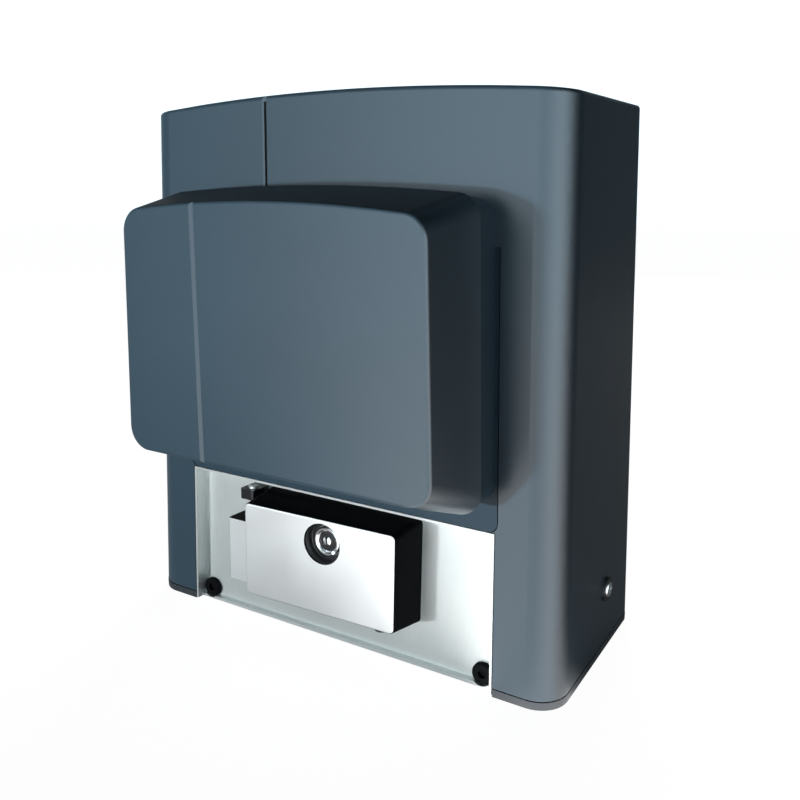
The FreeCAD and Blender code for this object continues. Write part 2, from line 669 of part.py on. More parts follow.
def stopDepth():
    return -s.doorProudRight + s.stopRadius + 4


def rodSpot(depth):
    """Point of the release rod's axis in the front frame at a depth."""
    spot = frontFrame.inverse().multVec(Vector(-s.shaftOffset, -s.coverDepth / 2 + depth, s.shaftHeight))
    return Vector(spot.x, depth, spot.z)


def pusherEnd():
    return -s.doorProudRight + 9


def doorFittings():
    stops = []
    for offset in (-s.stopOffset, s.stopOffset):
        low = s.doorLow - s.doorDraft * 0.4
        foot = rod(s.stopRadius, Vector(offset, stopDepth(), low - s.stopProud - 1), s.stopProud)
        foot = roundedEdges(foot, 0.7, lambda edge: edge.CenterOfMass.z < low - s.stopProud - 0.9)
        stops.append(foot.fuse(rod(2.6, Vector(offset, stopDepth(), low - 1.2), s.doorWall + 3)))
    addShape("door_stops", group(stops), frontFrame)
    place = frontFrame.multiply(Placement(Vector(hingeX, hingeY, 0), Rotation()))
    turned("hinge_pin", [("0", "tabLow - 7"), ("hingePinRadius", "tabLow - 7"),
                         ("hingePinRadius", "earHigh + 0.5"), ("hingePinRadius + 1.4", "earHigh + 0.5"),
                         ("hingePinRadius + 1.4", "earHigh + 2"), ("0", "earHigh + 2")], place)
    ear = block(hingeX - s.earLeft, hingeX + s.earRight, hingeY - 5, s.plateRecess, s.earLow, s.earHigh)
    ear = roundedEdges(ear, 2, lambda edge: (
        edge.CenterOfMass.y < hingeY and abs(edge.tangentAt(edge.FirstParameter).z) > 0.99))
    ear = ear.cut(rod(s.hingePinRadius, Vector(hingeX, hingeY, 0), 200))
    addShape("hinge_bracket", ear, frontFrame)


def lock():
    depth = -lockFace() + s.lockWellDeep
    place = frontFrame.multiply(Placement(Vector(s.lockOffset, depth, s.lockHeight), towardsBack))
    neck = "lockRadius - 1.2"
    turned("lock_body", [("lockPlugRadius + runningFit", "-1.6"), ("lockRadius - 0.8", "-1.6"),
                         ("lockRadius", "-0.8"), ("lockRadius", "0"), (neck, "0"),
                         (neck, "lockLength"), ("lockPlugRadius + runningFit", "lockLength")], place)
    plug = turned("lock_plug", [("0", "-0.9"), ("lockPlugRadius - 1.8", "-0.9"), ("lockPlugRadius", "-0.4"),
                                ("lockPlugRadius", "lockLength + 0.3"), ("4", "lockLength + 0.3"),
                                ("4", "lockLength + 4.5"), ("0", "lockLength + 4.5")], place)
    keyway = newSketch(plug, "XY_Plane", "-1.2")
    rectangle(keyway, "-1.1", "1.1", "-4.2", "4.2")
    pocket(plug, keyway, "10", back=True)
    tongue = newBody("lock_tongue", place)
    sketch = newSketch(tongue, "XY_Plane", "lockLength + 0.6")
    polygon(sketch, [("7", "-6"), ("7", "6"), ("-tongueReach + 3", "6"), ("-tongueReach", "3"),
                     ("-tongueReach", "-3"), ("-tongueReach + 3", "-6")])
    pad(tongue, sketch, "tongueThick")
    bore = newSketch(tongue, "XY_Plane", "lockLength")
    circle(bore, "0", "0", "4")
    pocket(tongue, bore, "8", back=True)
    nut = newBody("lock_nut", place)
    sketch = newSketch(nut, "XY_Plane", "2.6")
    polygon(sketch, [(f"lockNutRadius * cos({60 * k})", f"lockNutRadius * sin({60 * k})") for k in range(6)])
    pad(nut, sketch, "lockNutThick")
    bore = newSketch(nut, "XY_Plane", "0")
    circle(bore, "0", "0", neck)
    pocket(nut, bore, "20", back=True)


# Control box on the front

def boxLoop(halfLow, halfHigh, low, high, rise, outLow, outHigh, inset=0.0):
    """Four sided loop with an arched top in the leaning front frame."""
    def spot(x, z):
        share = (z - low) / (high - low)
        return Vector(x, -(outLow + (outHigh - outLow) * share), z)

    slope = (halfHigh - halfLow) / (high - low)
    z0 = low + inset
    z1 = high - inset
    x0 = halfLow + slope * inset - inset
    x1 = halfHigh - slope * inset - inset
    a, b, c, d = spot(-x0, z0), spot(x0, z0), spot(x1, z1), spot(-x1, z1)
    return Part.Wire([Part.LineSegment(a, b).toShape(), Part.LineSegment(b, c).toShape(),
                      Part.Arc(c, spot(0, z1 + rise), d).toShape(), Part.LineSegment(d, a).toShape()])


def rimLoop(out, inset=0.0):
    return boxLoop(s.rimHalfLow, s.rimHalfHigh, s.rimLow, s.rimHigh, s.rimRise, out, out, inset)


def faceLoop(behind=0.0, inset=0.0):
    return boxLoop(s.faceHalfLow, s.faceHalfHigh, s.faceLow, s.faceHigh, s.faceRise,
                   s.faceOutLow - behind, s.faceOutHigh - behind, inset)


def isCornerEdge(edge):
    start, end = edge.Vertexes[0].Point, edge.Vertexes[-1].Point
    return len(edge.Vertexes) == 2 and abs(end.y - start.y) > 0.7 * (end - start).Length


def boxForm(loops, corner):
    solid = Part.makeLoft(loops, True, True)
    return roundedEdges(solid, corner, isCornerEdge)


def coverHollow():
    return boxForm([rimLoop(s.rimOut - 0.01, s.boxWall), faceLoop(s.boxWall, s.boxWall)],
                   s.boxCorner - s.boxWall)


def controlBoxCover():
    outer = boxForm([rimLoop(s.rimOut), faceLoop()], s.boxCorner)
    outer = roundedEdges(outer, s.boxEdge, lambda edge: edge.BoundBox.YMax < -s.faceOutLow + 0.5)
    shell = outer.cut(coverHollow())
    # groove in line with the cover's own
    tilt = (s.faceOutHigh - s.faceOutLow) / (s.faceHigh - s.faceLow)
    low, high = s.faceLow - 20, s.faceHigh + 20

    def spot(x, inward, z):
        return Vector(x, -(s.faceOutLow + tilt * (z - s.faceLow)) + inward, z)

    sections = []
    for z in (low, high):
        corners = [spot(-s.grooveOffset - s.grooveWide / 2, -0.02, z),
                   spot(-s.grooveOffset + s.grooveWide / 4, s.grooveDeep, z),
                   spot(-s.grooveOffset + s.grooveWide / 2, s.grooveDeep, z),
                   spot(-s.grooveOffset + s.grooveWide / 2, -0.02, z)]
        sections.append(Part.makePolygon(corners + corners[:1]))
    shell = shell.cut(Part.makeLoft(sections, True, True))
    for spotX in boxScrewOffsets():
        spot = Vector(spotX, -boxScrewDepth(), boxScrewSeat())
        shell = shell.cut(rod(s.boxScrewRadius + 0.2, spot - Vector(0, 0, 5), 12))
        shell = shell.cut(rod(3, spot - Vector(0, 0, 8), 8))
    addShape("control_box_cover", shell.removeSplitter(), frontFrame)


def boxScrewOffsets():
    return (-s.rimHalfLow * 0.6, s.rimHalfLow * 0.6)


def lipTaper():
    """How far the lip closes in over its length, to follow the flared box cover."""
    steepest = max(s.faceLow - s.rimLow, s.rimHigh - s.faceHigh, s.rimHalfLow - s.faceHalfLow,
                   s.rimHalfHigh - s.faceHalfHigh)
    return s.tongueIn * steepest / (s.faceOutLow - s.rimOut)


def boxScrewDepth():
    return s.rimOut + s.tongueIn * 0.55


def boxScrewSeat():
    """Height of the seat of the screw head under the box cover."""
    share = (boxScrewDepth() - s.rimOut) / (s.faceOutLow - s.rimOut)
    return s.rimLow + (s.faceLow - s.rimLow) * share + 0.8


def controlBoxBase():
    panel = panelOutline(0, s.panelLow, panelTop(), 0, s.panelThick)
    inset = s.neckInset
    neck = boxForm([rimLoop(0, inset), rimLoop(s.rimOut, inset)], s.boxCorner - inset)
    lipInset = s.boxWall + s.lipGap
    taper = lipTaper()
    lip = boxForm([rimLoop(s.rimOut, lipInset), rimLoop(s.rimOut + s.tongueIn, lipInset + taper)],
                  s.boxCorner - lipInset)
    wallInset = lipInset + s.boxWall
    corner = s.boxCorner - wallInset
    hollow = boxForm([rimLoop(0, wallInset), rimLoop(s.rimOut, wallInset)], corner)
    mouth = boxForm([rimLoop(s.rimOut, wallInset), rimLoop(s.rimOut + s.tongueIn, wallInset + taper)], corner)
    filled = neck.fuse(lip)
    base = panel.fuse(neck).fuse(lip).cut(hollow).cut(mouth)
    # cable opening and screw bosses at the lower edge
    base = base.cut(block(20, 70, -1, 20, s.rimLow + 6, s.rimLow + 22))
    for spotX in boxScrewOffsets():
        spot = Vector(spotX, -boxScrewDepth(), s.rimLow)
        base = base.fuse(rod(4, spot, 16).common(filled)).cut(rod(s.boxScrewRadius, spot, 14))
    for spotX, spotZ in boardHoles():
        post = -2 - s.spacerLength
        base = base.fuse(rod(s.postRadius, Vector(spotX, post, spotZ), -post + 1, Vector(0, 1, 0)))
        base = base.cut(rod(1.5, Vector(spotX, post - 1, spotZ), -post + 3, Vector(0, 1, 0)))
    addShape("control_box_base", base.removeSplitter(), frontFrame)


def boxSeal():
    inset = s.boxWall + s.lipGap + lipTaper() + 1
    out = s.rimOut + s.tongueIn
    outer = boxForm([rimLoop(out, inset), rimLoop(out + s.sealWide, inset)], s.boxCorner - inset)
    outer = outer.common(coverHollow())
    wide = inset + s.boxWall - 1
    inner = boxForm([rimLoop(out - 1, wide), rimLoop(out + s.sealWide + 1, wide)], s.boxCorner - wide)
    addShape("box_seal", outer.cut(inner), frontFrame)


def boardHoles():
    half = s.boardWidth / 2 - s.boardEdge
    low = s.boardLow + s.boardEdge
    return [(x, z) for x in (-half, 0, half) for z in (low, low + s.boardHeight - 2 * s.boardEdge)]


def boardFace():
    """Front face of the circuit board in the front frame."""
    return -2 - s.spacerLength - s.boardThick


def controlBoard():
    place = frontFrame
    board = newBody("control_board", place)
    sketch = newSketch(board, "XZ_Plane", "2 + spacerLength")
    rectangle(sketch, "-boardWidth / 2", "boardWidth / 2", "boardLow", "boardLow + boardHeight")
    pad(board, sketch, "boardThick")
    holes = newSketch(board, "XZ_Plane", "0")
    for side in (-1, 0, 1):
        for edge in ("boardLow + boardEdge", "boardLow + boardHeight - boardEdge"):
            circle(holes, f"{side} * (boardWidth / 2 - boardEdge)", edge, "1.7")
    pocket(board, holes, "40", back=True)
    out = Vector(0, -1, 0)
    screws = []
    for x, z in boardHoles():
        shank = rod(1.5, Vector(x, 2, z), -boardFace() + 2, out)
        head = rod(2.9, Vector(x, boardFace(), z), 2, out)
        slot = block(x - 2.2, x + 2.2, boardFace() - 3, boardFace() - 1.2, z - 0.4, z + 0.4)
        screws.append(shank.fuse(head).cut(slot))
    addShape("board_screws", group(screws), place)


def onBoard(x, z, wide, high, tall):
    """Block standing on the circuit board, from its lower left corner."""
    face = boardFace()
    return block(x, x + wide, face - tall, face, z, z + high)


def boardParts():
    low = s.boardLow
    left = -s.boardWidth / 2
    out = Vector(0, -1, 0)
    face = boardFace()
    terminals = []
    poles = (9, 7, 8)
    start = left + 16
    pitch = 5
    for count in poles:
        body = onBoard(start, low + 14, count * pitch, 11, 13)
        for pole in range(count):
            centre = start + (pole + 0.5) * pitch
            body = body.cut(rod(1.7, Vector(centre, face - 14, low + 21), 5, Vector(0, 1, 0)))
            body = body.cut(block(centre - 1.6, centre + 1.6, face - 6, face - 2, low + 12, low + 18))
        terminals.append(body)
        start += count * pitch + 6
    addShape("terminal_blocks", group(terminals), frontFrame)
    relays = []
    for step in range(3):
        case = onBoard(left + 16 + step * 22, low + 44, 18, 24, 16)
        relays.append(roundedEdges(case, 0.8, lambda edge: edge.BoundBox.YMax < face - 15.9))
    addShape("relays", group(relays), frontFrame)
    cans = []
    for step in range(2):
        can = rod(7, Vector(left + 96 + step * 19, face, low + s.boardHeight - s.canDrop), 20, out)
        cans.append(roundedEdges(can, 1, lambda edge: edge.CenterOfMass.y < face - 19.9))
    addShape("smoothing_capacitors", group(cans), frontFrame)


def buttons():
    frames = []
    for step in range(int(s.buttonCount)):
        x = -s.boardWidth / 2 + 96 + step * s.buttonPitch
        z = s.boardLow + s.boardHeight - s.buttonDrop
        frame = onBoard(x - 4, z - 4, 8, 8, 5)
        frames.append(frame.cut(rod(2.4, Vector(x, boardFace() - 6, z), 4.6, Vector(0, 1, 0))))
        place = frontFrame.multiply(Placement(Vector(x, boardFace(), z), Rotation(Vector(1, 0, 0), 90)))
        turned(f"program_button_{step + 1}", [("0", "2.6"), ("2.1", "2.6"), ("2.1", "8.2"), ("1.7", "8.6"),
                                              ("0", "8.6")], place)
    addShape("button_frames", group(frames), frontFrame)


# Gear unit

def chamberBox():
    left = -s.shaftOffset - wheelPitchRadius - 14
    right = motorX + 23
    return left, right


def casingScrewSpots():
    left, right = chamberBox()
    low, high = s.footThick + 6, s.chamberTop - 6
    middle = (low + high) / 2
    return [(x, z) for x in (left + 4.6, right - 4.6) for z in (low, middle, high)]


def gearCasing():
    left, right = chamberBox()
    wall = s.chamberWall
    foot = block(-s.footHalfWidth, s.footHalfWidth, -s.footFront, s.footBack, 0, s.footThick)
    foot = roundedEdges(foot, 8, lambda edge: (
        edge.BoundBox.ZMax - edge.BoundBox.ZMin > s.footThick - 0.1 and edge.CenterOfMass.y > 0))
    chamber = block(left, right, -s.chamberFront, s.chamberBack, 0, s.chamberTop)
    chamber = roundedEdges(chamber, 5, lambda edge: (
        abs(edge.tangentAt(edge.FirstParameter).z) > 0.99 and edge.CenterOfMass.y < 0))
    inside = block(left + wall, right - wall, -s.chamberFront + wall, s.chamberBack + 1,
                   s.chamberFloor, s.chamberTop - s.chamberRoof)
    motorSeat = rod(s.bellRadius, Vector(motorX, s.wheelMiddle, s.chamberTop - s.chamberRoof), s.chamberRoof)
    motorSeat = motorSeat.common(block(-200, 200, -100, s.chamberBack, 0, 200))
    for side in (-1, 1):
        centre = side * s.plateScrewOffset
        foot = foot.fuse(block(centre - 9, centre + 9, -s.footFront + 1.2, -s.footFront + 19, 0,
                               s.plateScrewHeight + 9))
    casing = foot.fuse(chamber).fuse(motorSeat).cut(inside)
    # pocketed outer walls keep the casting light: ribs between the corners
    for side, wallX in ((-1, left), (1, right)):
        for y in (-s.chamberFront + 24, s.chamberBack - 30):
            low, high = sorted((wallX, wallX + side * 5))
            casing = casing.fuse(block(low, high, y, y + 5, s.footThick - 1, s.chamberTop - 20))
    back = Vector(0, 1, 0)
    axis = Vector(-s.shaftOffset, 0, s.shaftHeight)
    seat = rod(s.frontBearingOuter + 6, axis + back * (-s.chamberFront + 1),
               s.frontBearingStart + s.bearingWide + s.chamberFront - 1, back)
    casing = casing.fuse(seat)
    casing = casing.cut(rod(s.frontBearingOuter, axis + back * s.frontBearingStart, s.bearingWide + 40, back).common(
        block(left, right, s.frontBearingStart, s.frontBearingStart + s.bearingWide + 0.01, 0, 200)))
    casing = casing.cut(rod(s.rodRadius + s.slideGap, axis - back * 80, 60, back))
    # worm shaft: lower bearing seat and upper passage
    column = Vector(motorX, s.wheelMiddle, 0)
    up = Vector(0, 0, 1)
    casing = casing.cut(rod(s.motorBearingOuter, column + up * (s.chamberFloor - s.motorBearingWide), 30, up).common(
        block(left, right, -60, 60, s.chamberFloor - s.motorBearingWide, s.chamberFloor + 0.01)))
    casing = casing.cut(rod(s.motorShaftRadius + 4, column + up * 100, 60, up))
    casing = casing.cut(rod(s.motorShaftRadius + 1, column + up * (s.chamberFloor - s.motorBearingWide - 2), 5, up))
    for x in (-s.boltSpreadX / 2, s.boltSpreadX / 2):
        for y in (-s.boltSpreadY / 2, s.boltSpreadY / 2):
            casing = casing.cut(rod(s.boltHoleRadius, Vector(x, y, -1), s.footThick + 2))
    for x in (-s.levelOffset, s.levelOffset):
        for y in (-s.boltSpreadY / 2, s.boltSpreadY / 2):
            casing = casing.cut(rod(s.levelRadius, Vector(x, y, -1), s.footThick + 2))
    for x, z in casingScrewSpots():
        casing = casing.cut(rod(s.casingScrewRadius, Vector(x, s.chamberBack - 18, z), 20, back))
    for side in (-1, 1):
        spot = frontFrame.multVec(Vector(side * s.plateScrewOffset, s.plateRecess, s.plateScrewHeight))
        casing = casing.cut(rod(4, spot, 30, frontFrame.Rotation.multVec(back)))
    casing = casing.cut(cableSlot())
    for side in (-1, 1):
        low, high = sorted((side * (s.bracketReach - 6), side * (s.bracketReach + 3)))
        lug = block(low, high, s.sideScrewBack - 11, s.sideScrewBack + 11, s.footThick - 1, s.sideScrewHeight + 9)
        casing = casing.fuse(lug).cut(rod(s.sideScrewRadius, Vector(side * (s.bracketReach - 10), s.sideScrewBack,
                                                                  s.sideScrewHeight), 30, Vector(side, 0, 0)))
    for spot in tieBoltSpots():
        casing = casing.cut(rod(2.5, spot + up * (s.chamberTop - 9), 20))
    casing = casing.cut(rod(5, Vector(right - wall - 1, 0, s.shaftHeight - 10), 20, Vector(1, 0, 0)))
    clear = plateOutline(0.4, 0, -5, 5.4 + s.plateRecess + s.plateThick, -5)
    casing = casing.cut(placed(clear, frontFrame))
    addShape("gear_casing", casing.removeSplitter())


def cableSlot():
    return roundedSlot(0, -1, s.footThick + 1)


def roundedSlot(grow, low, high):
    """Upright slot around the cable entry in the foot, widened all round."""
    x, y = s.cableX, s.cableY
    long, short = s.cableLong + grow, s.cableShort + grow
    slot = block(x - long, x + long, y - short, y + short, low, high)
    return roundedEdges(slot, short - 0.1, lambda edge: abs(edge.tangentAt(edge.FirstParameter).z) > 0.99)


def tieBoltSpots():
    reach = s.motorRadius + 3
    return [Vector(motorX + reach * math.cos(math.radians(45 + 90 * k)),
                   s.wheelMiddle + reach * math.sin(math.radians(45 + 90 * k)), 0) for k in range(4)]


def casingCover():
    left, right = chamberBox()
    start = s.chamberBack
    back = Vector(0, 1, 0)
    axis = Vector(-s.shaftOffset, 0, s.shaftHeight)
    cover = block(left, right, start, start + s.flangeThick, s.footThick, s.chamberTop)
    cover = roundedEdges(cover, 1.5, lambda edge: edge.BoundBox.YMin > start + s.flangeThick - 0.1)
    boss = rod(s.bossRadius, axis + back * s.rearBearingStart, start + s.flangeThick + s.bossProud
               - s.rearBearingStart, back)
    boss = roundedEdges(boss, 1.5, lambda edge: (
        edge.CenterOfMass.y > start + s.flangeThick + s.bossProud - 0.1 and edge.Length > 50))
    cover = cover.fuse(boss)
    cover = cover.cut(rod(s.rearBearingOuter, axis + back * (s.rearBearingStart - 1), s.bearingWide + 1, back))
    cover = cover.cut(rod(s.outputRadius + 1.5, axis + back * s.rearBearingStart, 60, back))
    sealStart = start + s.flangeThick + s.bossProud - s.sealThick
    cover = cover.cut(rod(s.outputRadius + 8, axis + back * sealStart, 20, back))
    screws = []
    for x, z in casingScrewSpots():
        spot = Vector(x, 0, z)
        cover = cover.cut(rod(s.casingScrewRadius + s.slideGap, spot, 100, back))
        shank = rod(s.casingScrewRadius, spot + back * (s.chamberBack - 14), start + s.flangeThick
                    - s.chamberBack + 14, back)
        head = rod(4.2, spot + back * (start + s.flangeThick), 4.6, back)
        socket = hexagon(2.3, spot + back * (start + s.flangeThick + 2.2), 5, back)
        screws.append(shank.fuse(head).cut(socket))
    addShape("casing_cover", cover.removeSplitter())
    addShape("casing_screws", group(screws))
    turned("shaft_seal", [
        ("outputRadius + runningFit", "0.8"), ("outputRadius + 1.6", "0"), ("outputRadius + 8", "0"),
        ("outputRadius + 8", "sealThick"), ("outputRadius + 5", "sealThick"), ("outputRadius + 5", "1.8"),
        ("outputRadius + 2", "1.8"), ("outputRadius + runningFit", "2.6")], alongOutput(sealStart))


def outputBearings():
    solids = []
    for start, bore, outer in ((s.frontBearingStart, s.journalRadius, s.frontBearingOuter),
                               (s.rearBearingStart, s.outputRadius, s.rearBearingOuter)):
        for solid in bearingSolids(bore + s.runningFit, outer, s.bearingWide, 9):
            solids.append(placed(solid, alongOutput(start)))
    addShape("output_bearings", group(solids))


def outputShaft():
    slotStart = "clutchStart + clutchWide / 2 - clutchTravel - crossPinRadius - 1"
    slotEnd = "clutchStart + clutchWide / 2 + crossPinRadius + 0.4"
    shaft = turned("output_shaft", [
        ("0", "shaftFront"), ("journalRadius - 0.8", "shaftFront"), ("journalRadius", "shaftFront + 0.8"),
        ("journalRadius", "frontBearingStart + bearingWide + 0.2"),
        ("outputRadius", "frontBearingStart + bearingWide + 0.2"),
        ("outputRadius", "shaftBack - 1"), ("outputRadius - 1", "shaftBack"), ("0", "shaftBack")], outputAxis)
    bore = newSketch(shaft, "XY_Plane", "shaftFront - 1")
    circle(bore, "0", "0", "rodRadius + slideGap")
    pocket(shaft, bore, f"{slotEnd} + 3 - shaftFront + 1", back=True)
    slot = newSketch(shaft, "XZ_Plane", "0")
    rectangle(slot, "-crossPinRadius - slideGap", "crossPinRadius + slideGap", slotStart, slotEnd)
    cut = pocket(shaft, slot, "4 * outputRadius")
    cut.Midplane = True
    key = newSketch(shaft, "YZ_Plane", "outputRadius - 4")
    rectangle(key, "-keyWide / 2", "keyWide / 2", "pinionStart + 3", "pinionStart + pinionWide - 3")
    pocket(shaft, key, "10", back=True)
    thread = newSketch(shaft, "XY_Plane", "shaftBack + 1")
    circle(thread, "0", "0", "pinionScrewRadius")
    pocket(shaft, thread, "24")
    keyBody = newBody("pinion_key", outputAxis)
    sketch = newSketch(keyBody, "YZ_Plane", "outputRadius - 4")
    rectangle(sketch, "-keyWide / 2", "keyWide / 2", "pinionStart + 3", "pinionStart + pinionWide - 3")
    pad(keyBody, sketch, "7")


def toothWire(module, teeth, thin, clearance=0.25):
    """Gear outline with involute flanks, as short straight steps and arcs."""
    pitch = module * teeth / 2
    root = pitch - (1 + clearance) * module
    tip = pitch + module
    base = pitch * math.cos(math.radians(20))
    half = math.pi / (2 * teeth) - thin / pitch

    def involute(radius):
        ratio = max(radius / base, 1.0)
        return math.sqrt(ratio ** 2 - 1) - math.acos(1 / ratio)

    def flankAngle(radius):
        return half + involute(pitch) - involute(radius)

    def spot(radius, angle):
        return Vector(radius * math.cos(angle), radius * math.sin(angle), 0)

    radii = [max(root, base) + (tip - max(root, base)) * share for share in (0, 0.5, 1)]
    edges = []
    for tooth in range(teeth):
        middle = 2 * math.pi * tooth / teeth
        following = middle + 2 * math.pi / teeth
        rising = [spot(radius, middle - flankAngle(radius)) for radius in radii]
        falling = [spot(radius, middle + flankAngle(radius)) for radius in reversed(radii)]
        footStart = spot(root, middle - flankAngle(radii[0]))
        footEnd = spot(root, middle + flankAngle(radii[0]))
        nextFoot = spot(root, following - flankAngle(radii[0]))
        if root < base:
            edges.append(Part.LineSegment(footStart, rising[0]).toShape())
        edges.append(Part.Arc(*rising).toShape())
        edges.append(Part.Arc(rising[2], spot(tip, middle), falling[0]).toShape())
        edges.append(Part.Arc(*falling).toShape())
        if root < base:
            edges.append(Part.LineSegment(falling[2], footEnd).toShape())
        edges.append(Part.Arc(footEnd, spot(root, middle + math.pi / teeth), nextFoot).toShape())
    return Part.Wire(edges)


def pinion():
    teeth = int(s.pinionTeeth)
    gear = Part.Face(toothWire(s.pinionModule, teeth, 0.1)).extrude(Vector(0, 0, s.pinionWide))
    tip = s.pinionModule * (teeth / 2 + 1)
    edge = 1.5
    outline = Part.makeCone(tip - edge, tip, edge).fuse(
        rod(tip, Vector(0, 0, edge), s.pinionWide - 2 * edge)).fuse(
        Part.makeCone(tip, tip - edge, edge, Vector(0, 0, s.pinionWide - edge)))
    gear = gear.common(outline)
    hub = rod(19, Vector(0, 0, -1.4), 4)
    gear = gear.fuse(hub).cut(rod(s.outputRadius, Vector(0, 0, -5), 60))
    keyway = block(0, s.outputRadius + 3.2, -s.keyWide / 2, s.keyWide / 2, -2, s.pinionWide + 2)
    recess = rod(20, Vector(0, 0, s.pinionWide - 3), 5)
    gear = gear.cut(keyway).cut(recess)
    addShape("pinion", gear, alongOutput(s.pinionStart))
    turned("pinion_washer", ring("pinionScrewRadius + 0.3", "18", "0", "3"),
           alongOutput(s.pinionStart + s.pinionWide - 3 + 3.1))
    start = Vector(0, 0, s.pinionStart + s.pinionWide + 3.1)
    shank = rod(s.pinionScrewRadius, Vector(0, 0, s.shaftBack - 20), start.z - s.shaftBack + 20)
    head = hexagon(7.5, start, 5.3)
    addShape("pinion_screw", shank.fuse(head), outputAxis)


def wormWheel():
    """Bronze rim with teeth on the worm's lead angle, on a steel hub."""
    teeth = int(s.wheelTeeth)
    leadAngle = math.atan(s.gearModule / (2 * s.wormPitchRadius))
    twist = math.degrees(s.wheelWide * math.tan(leadAngle) / wheelPitchRadius)
    tipWire = toothWire(s.gearModule, teeth, s.meshGap)
    sections = []
    for share in (-0.5, 0.0, 0.5):
        wire = tipWire.copy()
        wire.rotate(Vector(), Vector(0, 0, 1), 360 / teeth / 2 - twist * share)
        wire.translate(Vector(0, 0, share * s.wheelWide))
        sections.append(wire)
    rim = Part.makeLoft(sections, True, False)
    rim = rim.cut(rod(s.hubRadius + 6, Vector(0, 0, -30), 60))
    addShape("worm_wheel", rim, alongOutput(s.wheelMiddle))
    front = f"hubFront - wheelMiddle"
    half = "wheelWide / 2"
    hub = turned("wheel_hub", [
        ("outputRadius + runningFit", f"{front} + springRoom"), ("springOuter", f"{front} + springRoom"),
        ("springOuter", front), ("hubRadius", front), ("hubRadius", f"-{half}"),
        ("hubRadius + 6", f"-{half}"), ("hubRadius + 6", half), ("outputRadius + 5", half),
        ("outputRadius + 5", "rearBearingStart - wheelMiddle - slideGap"),
        ("outputRadius + runningFit", "rearBearingStart - wheelMiddle - slideGap")], alongOutput(s.wheelMiddle))
    slot = newSketch(hub, "XY_Plane", front)
    rectangle(slot, "outputRadius + 4.5", "hubRadius + 1", "-dogWide / 2 - slideGap", "dogWide / 2 + slideGap")
    polarPattern(hub, pocket(hub, slot, "dogDeep + slideGap", back=True), "dogCount")


def worm():
    """Single start worm whose thread fills the gaps of the wheel."""
    lead = math.pi * s.gearModule
    pitchRadius = s.wormPitchRadius
    root = pitchRadius - 1.25 * s.gearModule
    tip = pitchRadius + s.gearModule - 0.3
    slant = math.tan(math.radians(20))
    half = lead / 4 - s.meshGap

    def width(radius):
        return half - (radius - pitchRadius) * slant

    inside = root - 0.4
    length = s.wormLength + 2 * lead
    turns = length / lead
    helix = Part.makeHelix(lead, length, pitchRadius)
    corners = [Vector(inside, 0, -width(inside)), Vector(tip, 0, -width(tip)),
               Vector(tip, 0, width(tip)), Vector(inside, 0, width(inside))]
    profile = Part.makePolygon(corners + corners[:1])
    thread = Part.Wire(helix).makePipeShell([profile], True, True)
    thread.translate(Vector(0, 0, -lead * round(turns / 2)))
    core = rod(root, Vector(0, 0, -s.wormLength / 2 - 3), s.wormLength + 6)
    keep = rod(tip + 5, Vector(0, 0, -s.wormLength / 2), s.wormLength)
    solid = core.fuse(thread.common(keep)).cut(rod(s.motorShaftRadius, Vector(0, 0, -60), 120))
    place = Placement(Vector(motorX, s.wheelMiddle, s.shaftHeight), Rotation(Vector(0, 0, 1), 180))
    addShape("worm", solid, place)


def clutch():
    middle = s.clutchStart + s.clutchWide / 2
    ringBody = turned("clutch_ring", [
        ("outputRadius + runningFit", "0"), ("hubRadius", "0"), ("hubRadius", "clutchWide"),
        ("outputRadius + 4.6", "clutchWide"), ("outputRadius + 4.6", "clutchWide - 1.5"),
        ("outputRadius + runningFit", "clutchWide - 1.5")], alongOutput(s.clutchStart))
    dog = newSketch(ringBody, "XY_Plane", "clutchWide - 1")
    rectangle(dog, "outputRadius + 5.5", "hubRadius - 0.5", "-dogWide / 2", "dogWide / 2")
    polarPattern(ringBody, pad(ringBody, dog, "dogDeep + 1"), "dogCount")
    hole = newSketch(ringBody, "XZ_Plane", "0")
    circle(hole, "0", "clutchWide / 2", "crossPinRadius")
    cut = pocket(ringBody, hole, "100")
    cut.Midplane = True
    pinPlace = alongOutput(middle).multiply(Placement(Vector(), Rotation(Vector(1, 0, 0), 90)))
    turned("clutch_pin", [("0", "-hubRadius + 1"), ("crossPinRadius", "-hubRadius + 1"),
                          ("crossPinRadius", "hubRadius - 1"), ("0", "hubRadius - 1")], pinPlace)
    headStart = frontFrame.multVec(rodSpot(pusherEnd())).y + s.slideGap + 0.2
    rodBody = turned("release_rod", [
        ("0", f"{headStart} + 0.8"), ("rodHeadRadius - 2", f"{headStart}"), ("rodHeadRadius", f"{headStart} + 1.5"),
        ("rodHeadRadius", f"{headStart} + rodHeadThick"), ("rodRadius", f"{headStart} + rodHeadThick"),
        ("rodRadius", "clutchStart + clutchWide / 2 + 4"), ("0", "clutchStart + clutchWide / 2 + 4")], outputAxis)
    hole = newSketch(rodBody, "XZ_Plane", "0")
    circle(hole, "0", "clutchStart + clutchWide / 2", "crossPinRadius")
    cut = pocket(rodBody, hole, "100")
    cut.Midplane = True
    # coil between the ring's recess and the hub face
    start = s.clutchStart + s.clutchWide - 1.5
    room = s.hubFront + s.springRoom - start
    radius = s.outputRadius + 2.4
    rise = room - 2 * s.springWire
    turns = 3.5
    helix = Part.makeHelix(rise / turns, rise, radius)
    eighth = math.pi / 4
    corners = [Vector(radius + s.springWire * math.cos(k * eighth), 0, s.springWire * math.sin(k * eighth))
               for k in range(9)]
    coil = Part.Wire(helix).makePipeShell([Part.makePolygon(corners)], True, True)
    addShape("clutch_spring", coil, alongOutput(start + s.springWire))


# Motor

